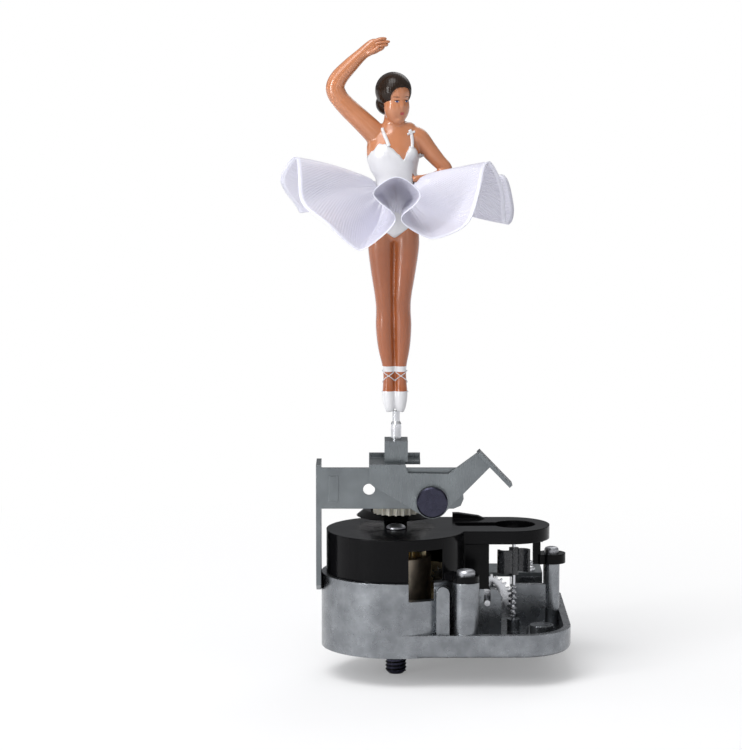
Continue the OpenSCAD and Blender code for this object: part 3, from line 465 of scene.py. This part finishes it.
# the skin on the legs gets painted shade standing in for the skirt's shadow
SKIN = paint("skin_paint", (0.53, 0.205, 0.092), 0.26, 0.6, skirt_shade_tint=(0.66, 0.45, 0.28))
WHITE = paint("white_paint", (0.70, 0.70, 0.72), 0.3, 0.5)
HAIR = paint("hair_paint", (0.020, 0.012, 0.008), 0.22, 0.15)
EYE = paint("eye_paint", (0.05, 0.06, 0.16), 0.25, 0.5)
LIP = paint("lip_paint", (0.45, 0.03, 0.03), 0.3, 0.5)

HEAD_TURN = math.radians(30)
HEAD = (-0.5, 0.1, 63.4)


def on_head(right, front, up):
    """Place in the head's own axes: to its left hand, ahead of it and up."""
    c, s = math.cos(HEAD_TURN), math.sin(HEAD_TURN)
    return (HEAD[0] + right * c + front * s, HEAD[1] + right * s - front * c, HEAD[2] + up)


# shoe, leg and thigh of each side, then the trunk and neck
bm = bmesh.new()
figure_tube(bm, [(-1.25, -0.1, -0.2, 0.75, 0.8), (-1.35, 0, 0.8, 1.05, 1.1), (-1.5, 0.05, 3, 1.32, 1.35),
                 (-1.5, 0.1, 5.2, 1.2, 1.25), (-1.5, 0.1, 7, 1.12, 1.2), (-1.6, 0.1, 9.4, 1.25, 1.35),
                 (-2.05, 0.35, 13, 1.65, 1.8), (-2.25, 0.5, 17, 1.9, 2.2), (-2.25, 0.3, 20.5, 1.85, 2.1),
                 (-2.4, 0.0, 23.5, 1.95, 2.15), (-2.8, 0, 29, 2.4, 2.4), (-3.05, 0, 34, 2.7, 2.75),
                 (-2.8, 0.1, 38, 2.7, 2.9)])
figure_tube(bm, [(0.8, -0.1, -0.2, 0.75, 0.8), (0.9, 0, 0.8, 1.05, 1.1), (1.0, 0.05, 3, 1.32, 1.35),
                 (1.0, 0.1, 5.2, 1.2, 1.25), (0.95, 0.1, 7, 1.12, 1.2), (0.95, 0.1, 9.4, 1.2, 1.3),
                 (1.2, 0.35, 13, 1.6, 1.75), (1.25, 0.5, 17, 1.85, 2.15), (1.15, 0.3, 20.5, 1.8, 2.05),
                 (1.2, 0.0, 23.5, 1.9, 2.1), (1.7, 0, 29, 2.3, 2.4), (2.05, 0, 34, 2.6, 2.75),
                 (1.8, 0.1, 38, 2.6, 2.9)])
figure_tube(bm, [(-0.5, 0.1, 34.6, 2.2, 2.0), (-0.5, 0.15, 36.5, 4.3, 3.1), (-0.5, 0.15, 39, 4.9, 3.5),
                 (-0.35, 0.1, 42, 4.5, 3.3), (-0.1, 0, 45, 4.05, 2.95), (-0.05, -0.05, 47.5, 4.05, 2.9),
                 (-0.45, -0.1, 50, 4.9, 3.15), (-0.7, -0.1, 52.5, 5.3, 3.35), (-0.5, 0.05, 54.6, 5.1, 3.0),
                 (-0.2, 0.1, 56.4, 4.6, 2.3), (-0.5, 0.2, 57.6, 3.1, 1.9), (-0.7, 0.25, 58.6, 1.95, 1.7),
                 (-0.65, 0.25, 60, 1.75, 1.7), (-0.5, 0.2, 62, 1.75, 1.7)], 36)
# bust, seat and collar bones under the smooth surface
egg(bm, (-1.7, -2.15, 52.3), (1.75, 1.5, 1.6))
egg(bm, (2.6, -1.75, 52.2), (1.6, 1.5, 1.6))
egg(bm, (-2.4, 1.9, 37.6), (2.3, 2.0, 2.4))
egg(bm, (1.5, 1.9, 37.6), (2.3, 2.0, 2.4))
egg(bm, (3.6, 0.2, 56.0), (1.85, 1.7, 1.5))
# raised upper arm; it ends inside the elbow
figure_tube(bm, [(-3.4, 0.1, 54.6, 2.3, 2.1), (-4.3, 0.1, 56.1, 2.3, 2.1), (-6.7, 0, 58.5, 2.15, 1.95),
                 (-9.7, 0, 61.3, 1.98, 1.83), (-11.4, 0, 63.2, 1.8, 1.6), (-12.0, 0, 64.6, 1.0, 0.9)])
# arm with its hand on the waist
figure_tube(bm, [(3.3, 0.1, 55.8, 1.9, 1.8), (4.6, 0.3, 55.2, 1.95, 1.8), (6.4, 0.6, 53.0, 1.75, 1.65),
                 (8.4, 0.9, 50.7, 1.5, 1.45), (9.8, 1.0, 49.3, 1.35, 1.35), (10.0, 0.8, 48.5, 1.2, 1.25),
                 (8.9, 0.2, 47.9, 1.1, 1.1), (7.0, -0.7, 47.4, 0.95, 0.95), (5.4, -1.4, 47.2, 0.8, 0.8),
                 (4.2, -1.9, 47.2, 0.75, 0.6), (3.3, -2.3, 47.0, 0.5, 0.4)])
# head: skull, jaw, chin and a small nose
egg(bm, on_head(0, -0.2, 1.2), (3.3, 3.75, 3.6), HEAD_TURN)
egg(bm, on_head(0, 1.1, -1.9), (2.65, 2.35, 3.4), HEAD_TURN)
egg(bm, on_head(0, 1.75, -4.2), (1.4, 1.25, 1.45), HEAD_TURN)
egg(bm, on_head(0, 3.25, -1.6), (0.38, 0.5, 0.85), HEAD_TURN)
egg(bm, on_head(0, 2.75, -3.1), (0.8, 0.42, 0.4), HEAD_TURN)
for side in (-1, 1):
    egg(bm, on_head(side * 1.45, 1.7, -2.0), (1.05, 1.0, 1.15), HEAD_TURN)
dancer = new_object("raw_body", bm, [SKIN])


def bake(obj):
    """Applies the object's modifiers to its mesh."""
    graph = bpy.context.evaluated_depsgraph_get()
    mesh = bpy.data.meshes.new_from_object(obj.evaluated_get(graph))
    obj.modifiers.clear()
    obj.data = mesh


def remesh(obj, size, smooth_steps):
    """Melts overlapping shapes into one closed skin and softens it."""
    voxel = obj.modifiers.new("voxel", "REMESH")
    voxel.mode = "VOXEL"
    voxel.voxel_size = size
    voxel.use_smooth_shade = True
    soft = obj.modifiers.new("soft", "SMOOTH")
    soft.factor = 0.5
    soft.iterations = smooth_steps
    bake(obj)
    for face in obj.data.polygons:
        face.use_smooth = True


remesh(dancer, SKIN_VOXEL * MM, 7)
body_bm = bmesh.new()
body_bm.from_mesh(dancer.data)
BODY = BVHTree.FromBMesh(body_bm)
# forearm, palm, thumb and four fingers that lie together, in clean tubes
figure_tube(body_bm, [
    (-9.3, 0, 61.0, 0.9, 0.9), (-10.5, 0, 62.15, 1.72, 1.6), (-11.75, 0, 63.7, 1.9, 1.68),
    (-12.25, 0, 65.4, 1.88, 1.64), (-11.4, 0, 67.4, 1.75, 1.6), (-9.0, 0, 70.0, 1.5, 1.45),
    (-6.9, 0, 72.0, 1.25, 1.15), (-5.7, 0, 72.9, 1.35, 1.0), (-4.6, 0, 73.5, 1.5, 0.85),
    (-3.8, 0, 73.8, 1.3, 0.6), (-3.4, 0, 73.9, 0.6, 0.3)], 36, 8)
for up, tip in ((1.05, -2.0), (0.38, -1.4), (-0.3, -1.7), (-0.95, -2.4)):
    tip_height = 74.1 + 0.9 * up
    figure_tube(body_bm, [
        (-4.7, -0.1, 73.4 + up, 0.40, 0.55), (-3.3, -0.2, 73.9 + up, 0.39, 0.60),
        (tip - 0.3, 0.1, tip_height, 0.34, 0.45), (tip, 0.2, tip_height, 0.12, 0.15)], 16, 6)
figure_tube(body_bm, [
    (-6.0, -0.5, 72.2, 0.5, 0.5), (-4.9, -0.95, 72.5, 0.46, 0.5), (-3.8, -1.0, 73.2, 0.36, 0.4),
    (-3.5, -0.95, 73.4, 0.12, 0.12)], 16, 6)
bmesh.ops.recalc_face_normals(body_bm, faces=body_bm.faces)
SHOE_TOP, BAND_LOW, BAND_HIGH = 4.1, 8.1, 9.2
for height in (SHOE_TOP, BAND_LOW, BAND_HIGH):
    everything = body_bm.verts[:] + body_bm.edges[:] + body_bm.faces[:]
    bmesh.ops.bisect_plane(body_bm, geom=everything, plane_co=at_feet(0, 0, height), plane_no=(0, 0, 1))
for face in body_bm.faces:
    height = face.calc_center_median().z / MM - FEET
    face.material_index = int(height < SHOE_TOP or BAND_LOW < height < BAND_HIGH)
    face.smooth = True
body_bm.to_mesh(dancer.data)
body_bm.free()
dancer.data.materials.append(WHITE)
dancer.name = "dancer_body"
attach(dancer, "dancer")
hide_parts("ballerina")

# --- Leotard, straps and shoe ribbons ---
# White paint on a raised moulding: the leotard is a thin shell laid on the
# trunk, with a scalloped neckline. Straps and crossed shoe ribbons are narrow
# strips on the skin.


def interpolate(stops, at):
    """Value at a place between stops, level at each stop."""
    for (a, u), (b, v) in zip(stops, stops[1:]):
        if a <= at <= b:
            t = (at - a) / (b - a)
            return u + (v - u) * t * t * (3 - 2 * t)
    return stops[-1][1]


def linear(stops, at):
    """Value at a place on the straight line between stops."""
    for (a, u), (b, v) in zip(stops, stops[1:]):
        if a <= at <= b:
            return u + (v - u) * (at - a) / (b - a)
    return stops[-1][1]


def skin_point(start, toward, lift):
    """Point on the body hit from start towards a place, lifted off by lift (mm)."""
    ray = (toward - start).normalized()
    hit = BODY.ray_cast(start, ray)[0]
    if hit is None:
        return toward
    return hit - ray * lift * MM


# neckline height against the angle round the trunk; 270 is the front
NECKLINE = [(0, 51.6), (90, 49.5), (180, 51.2), (200, 51.7), (216, 52.8), (232, 54.1), (246, 54.1),
            (262, 53.4), (280, 52.0), (295, 50.9), (302, 52.7), (312, 53.8), (326, 53.3),
            (342, 52.0), (360, 51.6)]
COLUMNS, ROWS_UP = 120, 26
SCALLOP = 0.22
LEOTARD_THICK = 0.22
CROTCH, HIP_RISE = 35.4, 3.9
# half width and half depth that just clear the trunk, by height
TRUNK = [(34, Vector((5.4, 4.6))), (39, Vector((6.0, 5.2))), (45, Vector((4.9, 3.8))),
         (48, Vector((4.9, 4.0))), (52, Vector((6.2, 4.8))), (56, Vector((6.2, 4.6)))]
bm = bmesh.new()
grid = []
for i in range(COLUMNS):
    angle = 360 * i / COLUMNS
    scallop = SCALLOP * abs(math.sin(math.radians(angle * 7.5)))
    top = interpolate(NECKLINE, angle) + scallop
    low = CROTCH + HIP_RISE * abs(math.cos(math.radians(angle))) ** 1.5
    column = []
    for j in range(ROWS_UP + 1):
        z = low + (top - low) * j / ROWS_UP
        turn = math.radians(angle)
        axis = at_feet(-0.4, 0.1, z)
        half = linear(TRUNK, z)
        out = axis + Vector((math.cos(turn) * half[0], math.sin(turn) * half[1], 0)) * MM
        edge = 0.05 if j == ROWS_UP else 0.14
        column.append(bm.verts.new(skin_point(out, axis, edge)))
    grid.append(column)
for i in range(COLUMNS):
    left, right = grid[i], grid[(i + 1) % COLUMNS]
    for j in range(ROWS_UP):
        bm.faces.new((left[j], right[j], right[j + 1], left[j + 1]))
leotard = new_object("leotard", bm, [WHITE])
shell = leotard.modifiers.new("shell", "SOLIDIFY")
shell.thickness = LEOTARD_THICK * MM
shell.offset = -1
bake(leotard)
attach(leotard, "dancer")

STRIP_REACH = 9  # from the trunk's middle to clear of its skin
STRIP_HALF_THICK = 0.16


def strip(bm, points, width, lift, from_dir):
    """Narrow raised strip laid on the skin through points, seen along from_dir."""
    aim = Vector(from_dir).normalized()
    reach = aim * STRIP_REACH * MM
    laid = []
    for x, y, z in spline(points, 6):
        place = at_feet(x, y, z)
        laid.append(skin_point(place - reach, place + reach, lift))
    rows = [[*p, width / 2 * MM, STRIP_HALF_THICK * MM] for p in laid]
    sweep(bm, rows, 8, from_dir)


# each strip's path, width, lift off the skin and the way it is seen from
FRONT, BACK = (0, 1, 0), (0, -1, 0)
STRAP = (0.75, 0.04)
BOW = (0.5, 0.08)
STRIPS = [
    ([(-1.5, 0, 53.8), (-2.1, 0, 55.3), (-2.7, 0, 56.6), (-2.9, 0, 57.3)], *STRAP, FRONT),
    ([(3.1, 0, 53.4), (3.1, 0, 55.0), (2.9, 0, 56.3), (2.6, 0, 57.0)], *STRAP, FRONT),
    ([(2.2, 0, 56.1), (2.9, 0, 56.4), (3.7, 0, 56.6)], *BOW, FRONT),
    ([(-2.9, 0, 57.2), (-2.6, 0, 55.5), (-2.0, 0, 53.0), (-1.5, 0, 50.5)], *STRAP, BACK),
    ([(2.6, 0, 57.0), (2.3, 0, 55.5), (1.6, 0, 53.0), (1.0, 0, 50.5)], *STRAP, BACK)]
bm = bmesh.new()
for path, width, lift, seen_from in STRIPS:
    strip(bm, path, width, lift, seen_from)
straps = new_object("shoulder_straps", bm, [WHITE])
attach(straps, "dancer")

LACE_HALF, LACE_THICK = 0.2, 0.09
# middle of each ankle, from the shoe to the band
ANKLES = [[(-1.5, 0.1, 3.9), (-1.5, 0.1, 6), (-1.58, 0.1, 8.3)],
          [(0.98, 0.1, 3.9), (0.95, 0.1, 6), (0.95, 0.1, 8.3)]]
bm = bmesh.new()
for ankle in ANKLES:
    for way in (-1, 1):
        rows = []
        axis_points = spline(ankle, 16)
        for i, (x, y, z) in enumerate(axis_points):
            turn = math.radians(-90 + way * (90 + 360 * i / (len(axis_points) - 1)))
            centre = at_feet(x, y, z)
            out = centre + Vector((math.cos(turn), math.sin(turn), 0)) * 1.9 * MM
            rows.append([*skin_point(out, centre, 0.03), LACE_HALF * MM, LACE_THICK * MM])
        sweep(bm, rows, 6, (0, 0, 1))
laces = new_object("shoe_ribbons", bm, [WHITE])
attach(laces, "dancer")

# --- Hair and face ---
# A dark cap of hair sweeps back from the brow to a knot, over a plain doll's
# face with painted eyes, brows and lips.

HAIR_THICK = 0.6
bm = bmesh.new()
egg(bm, on_head(0, -0.25, 1.35), (3.55, 4.05, 3.75), HEAD_TURN)
egg(bm, on_head(0, -1.7, -1.3), (2.95, 2.5, 2.5), HEAD_TURN)
egg(bm, on_head(0, -3.9, 1.5), (1.75, 1.5, 1.75), HEAD_TURN)
hair = new_object("hair", bm, [HAIR])
remesh(hair, SKIN_VOXEL * MM, 6)
bm = bmesh.new()
bm.from_mesh(hair.data)
# the hairline is cut by a pair of planes that meet at the parting
cut = bmesh.new()
for side in (-1, 1):
    part = bm.copy()
    mid = Vector(on_head(0, 0, 0)) - Vector(on_head(side, 0, 0))
    everything = part.verts[:] + part.edges[:] + part.faces[:]
    bmesh.ops.bisect_plane(part, geom=everything, plane_co=at_feet(*on_head(0, 0, 0)),
                           plane_no=mid, clear_outer=True)
    brow = at_feet(*on_head(0, 3.5, 1.7))
    temple = at_feet(*on_head(side * 3.2, 1.0, -3.0))
    crown = at_feet(*on_head(side * 2.3, 2.9, 1.0))
    before_face = at_feet(*on_head(0, 5, -3))
    normal = (temple - brow).cross(crown - brow) * side
    if normal.dot(before_face - brow) <= 0:
        normal = -normal
    everything = part.verts[:] + part.edges[:] + part.faces[:]
    bmesh.ops.bisect_plane(part, geom=everything, plane_co=brow, plane_no=normal, clear_outer=True)
    half = bpy.data.meshes.new("hair_half")
    part.to_mesh(half)
    part.free()
    cut.from_mesh(half)
bm.free()
bmesh.ops.remove_doubles(cut, verts=cut.verts, dist=0.01 * MM)
cut.to_mesh(hair.data)
cut.free()
thick = hair.modifiers.new("thick", "SOLIDIFY")
thick.thickness = HAIR_THICK * MM
thick.offset = -1
bake(hair)
for face in hair.data.polygons:
    face.use_smooth = True
# fine strands, combed back
strands = HAIR.node_tree
waves = strands.nodes.new("ShaderNodeTexWave")
waves.inputs["Scale"].default_value = 700
waves.inputs["Distortion"].default_value = 3
strands.links.new(object_coords(strands, (1, 1, 0.35)), waves.inputs["Vector"])
strands.nodes["Principled BSDF"].inputs["Specular IOR Level"].default_value = 0.15
bump(strands, strands.nodes["Principled BSDF"], waves.outputs["Fac"], 0.05, 0.35)
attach(hair, "dancer")

PATCH_SIDES = 16


def face_patch(bm, right, up, half_w, half_h, tilt, lift, mat_index):
    """Painted oval laid on the face; right and up place it on the head."""
    ahead = Vector(on_head(0, 1, 0)) - Vector(on_head(0, 0, 0))
    rings = []
    for f in (0.0, 0.5, 1.0):
        ring = []
        for k in range(PATCH_SIDES):
            turn = 2 * math.pi * k / PATCH_SIDES
            u, v = math.cos(turn) * half_w * f, math.sin(turn) * half_h * f
            u, v = u * math.cos(tilt) - v * math.sin(tilt), u * math.sin(tilt) + v * math.cos(tilt)
            start = at_feet(*on_head(right + u, 9, up + v))
            ring.append(bm.verts.new(skin_point(start, start - ahead, lift)))
            if f == 0.0:
                break
        rings.append(ring)
    for k in range(PATCH_SIDES):
        n = (k + 1) % PATCH_SIDES
        tri = bm.faces.new((rings[0][0], rings[1][k], rings[1][n]))
        quad = bm.faces.new((rings[1][k], rings[2][k], rings[2][n], rings[1][n]))
        tri.material_index = quad.material_index = mat_index


ON_WHITE, ON_EYE, ON_BROW, ON_LIP = range(4)
bm = bmesh.new()
# white of the eye, iris, lash line and brow on each side, then the two lips
for side in (-1, 1):
    face_patch(bm, side * 1.1, -0.75, 0.38, 0.14, side * 0.08, 0.03, ON_WHITE)
    face_patch(bm, side * 1.1, -0.75, 0.24, 0.2, 0, 0.05, ON_EYE)
    face_patch(bm, side * 1.1, -0.53, 0.52, 0.06, side * -0.05, 0.06, ON_BROW)
    face_patch(bm, side * 1.2, 0.15, 0.66, 0.06, side * 0.06, 0.04, ON_BROW)
face_patch(bm, 0, -3.02, 0.58, 0.12, 0, 0.03, ON_LIP)
face_patch(bm, 0, -3.28, 0.46, 0.16, 0, 0.03, ON_LIP)
face_paint = new_object("face_paint", bm, [WHITE, EYE, HAIR, LIP])
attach(face_paint, "dancer")

# --- Ribbon skirt ---
# One satin ribbon, gathered on a thread and drawn tight round the waist. Its
# hem rolls in deep open folds, and stitched selvedges run along both edges.

# hem from the left side round the front to the right and the back: x, y and
# the rise above the waist (mm)
HEM = [(-20.5, 7, -4), (-23.5, 1, 1.4), (-20.3, -4.5, 6.5), (-19.5, -10.5, 3.1), (-18.8, -13.2, -2.4),
       (-13.9, -17, -6), (-8.8, -18.7, -10.4), (-6, -19, -10.7), (-0.1, -19.5, -5.2), (-3.8, -19, -1.5),
       (-4.5, -18.6, 0.6), (0, -18.5, 3.3), (4.4, -18.6, 0.3), (3.7, -19, -2.1), (0.6, -19.5, -5.1),
       (5.2, -19, -8.4), (8.4, -18.6, -8.7), (13.9, -16.4, -6.1), (16.2, -13, -0.4), (17.6, -8, 4.8),
       (19.1, -5, 5), (21.7, 1, -0.6), (22.3, 5, -7.4), (23.6, 7, -7.4), (24, 9, -4.1), (22, 13, 2),
       (16.2, 16.2, -2.8), (12.8, 17.6, -6.8), (9.4, 18.4, -7.8), (5.8, 18.4, -0.4), (0.6, 18.2, 4.6),
       (-4, 18.5, -2), (-6.4, 18.6, -6.6), (-9.8, 18.2, -8.2), (-13.6, 16.2, -1), (-15.6, 14.6, 3),
       (-18.2, 12.4, 2.2), (-19.2, 9, -5.6)]
# (number of the hem point, angle at the waist)
GATHER = [(0, 172), (3, 205), (7, 242), (11, 270), (16, 297), (20, 330), (25, 385), (30, 450), (38, 532)]
HEM_STEPS = 12
ACROSS = 26
WAIST = Vector((4.3, 3.25, 45.4))
PLEATS = 58
PLEAT_HIGH = 0.24
RIPPLE_HIGH = 0.22
# how far the gathers sink behind the front fold, that fold's place on the hem and its width
DIP_DEEP, DIP_AT, DIP_WIDE = 5.2, 11, 3.6
RIBBON_WIDE = 20.0
RIBBON_THICK = 0.13
SMOOTH_REACH = 2
# soft valleys and, where the depth is negative, ridges from hem to waist:
# hem point, width, depth
CREASES = [(3.1, 0.35, 0.6), (4.2, 0.45, -0.9), (6.2, 0.8, 1.5), (15.2, 0.5, -0.6), (17.2, 0.7, 1.3),
           (19.0, 0.4, -0.5), (26.0, 0.5, 0.6), (33.0, 0.5, 0.5)]


def loop_spline(rows, steps):
    """Closed curve through rows, with steps points to each span."""
    n = len(rows)
    padded = [rows[-1]] + rows + rows[:2]
    out = []
    for i in range(n):
        out.extend(spline(padded[i:i + 4], steps)[steps:2 * steps])
    return out


hem = loop_spline([list(p) for p in HEM], HEM_STEPS)
count = len(hem)
near_by = range(-SMOOTH_REACH, SMOOTH_REACH + 1)
for _ in range(2):
    hem = [[sum(hem[(i + k) % count][a] for k in near_by) / len(near_by) for a in range(3)]
           for i in range(count)]
bm = bmesh.new()
uv = bm.loops.layers.uv.new("cloth")
length = [0.0]
for i in range(count):
    length.append(length[-1] + (Vector(hem[(i + 1) % count]) - Vector(hem[i])).length)
sheet = []
for i in range(count):
    place = i / HEM_STEPS
    angle = math.radians(linear(GATHER, place))
    x, y, rise = hem[i]
    inner_x, inner_y = WAIST.x * math.cos(angle), WAIST.y * math.sin(angle)
    dip = DIP_DEEP * math.exp(-((place - DIP_AT) / DIP_WIDE) ** 4)
    column = []
    for j in range(ACROSS + 1):
        v = j / ACROSS
        f = v ** 1.5
        fold = PLEAT_HIGH * math.sin(PLEATS * angle) * (1 - v) ** 2
        ripple = RIPPLE_HIGH * math.sin(math.pi * v) ** 2 * math.sin(1.7 * place + 4 * v)
        crease = sum(deep * math.exp(-((place - at) / wide) ** 2) for at, wide, deep in CREASES)
        height = (WAIST.z - dip * (1 - v) ** 1.5 + rise * f ** 0.5 + fold + ripple
                  - crease * math.sin(math.pi * v))
        column.append(bm.verts.new(at_feet(
            inner_x + (x - inner_x) * f, inner_y + (y - inner_y) * f, height)))
    sheet.append(column)
for i in range(count):
    left, right = sheet[i], sheet[(i + 1) % count]
    for j in range(ACROSS):
        face = bm.faces.new((left[j], right[j], right[j + 1], left[j + 1]))
        u = (length[i], length[i + 1], length[i + 1], length[i])
        v = (j, j, j + 1, j + 1)
        for loop, a, b in zip(face.loops, u, v):
            loop[uv].uv = (a / RIBBON_WIDE, b / ACROSS)


def satin():
    mat, tree, shader = new_material("satin_ribbon", (0.70, 0.69, 0.80), 0.28)
    shader.inputs["Specular IOR Level"].default_value = 1.0
    shader.inputs["Anisotropic"].default_value = 0.6
    shader.inputs["Sheen Weight"].default_value = 0.12
    shader.inputs["Sheen Roughness"].default_value = 0.35
    shader.inputs["Subsurface Weight"].default_value = 0.1
    shader.inputs["Subsurface Radius"].default_value = (0.0008, 0.0008, 0.001)
    coords = tree.nodes.new("ShaderNodeTexCoord")
    twill_map = tree.nodes.new("ShaderNodeMapping")
    twill_map.inputs["Rotation"].default_value = (0, 0, math.radians(38))
    tree.links.new(coords.outputs["UV"], twill_map.inputs["Vector"])
    twill = tree.nodes.new("ShaderNodeTexWave")
    twill.inputs["Scale"].default_value = 11
    twill.inputs["Distortion"].default_value = 0.6
    tree.links.new(twill_map.outputs["Vector"], twill.inputs["Vector"])
    parts = tree.nodes.new("ShaderNodeSeparateXYZ")
    tree.links.new(coords.outputs["UV"], parts.inputs["Vector"])
    edge = ramp(tree, parts.outputs["Y"], [
        (0.0, (1, 1, 1)), (0.03, (0, 0, 0)), (0.962, (0, 0, 0)), (0.972, (1, 1, 1))])
    stitch = tree.nodes.new("ShaderNodeTexNoise")
    stitch.inputs["Scale"].default_value = 90
    tree.links.new(coords.outputs["UV"], stitch.inputs["Vector"])
    choose = tree.nodes.new("ShaderNodeMix")
    choose.data_type = "FLOAT"
    tree.links.new(edge, choose.inputs["Factor"])
    tree.links.new(twill.outputs["Fac"], choose.inputs[2])
    tree.links.new(stitch.outputs["Fac"], choose.inputs[3])
    bump(tree, shader, choose.outputs[0], 0.07, 0.55)
    tint = tree.nodes.new("ShaderNodeMix")
    tint.data_type = "RGBA"
    tint.inputs[6].default_value = (0.64, 0.635, 0.73, 1)
    tint.inputs[7].default_value = (0.73, 0.73, 0.83, 1)
    tree.links.new(edge, tint.inputs[0])
    tree.links.new(tint.outputs[2], shader.inputs["Base Color"])
    return mat


skirt = new_object("ribbon_skirt", bm, [satin()])
ply = skirt.modifiers.new("ply", "SOLIDIFY")
ply.thickness = RIBBON_THICK * MM
ply.offset = 0
bake(skirt)
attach(skirt, "dancer")
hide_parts("tutu")
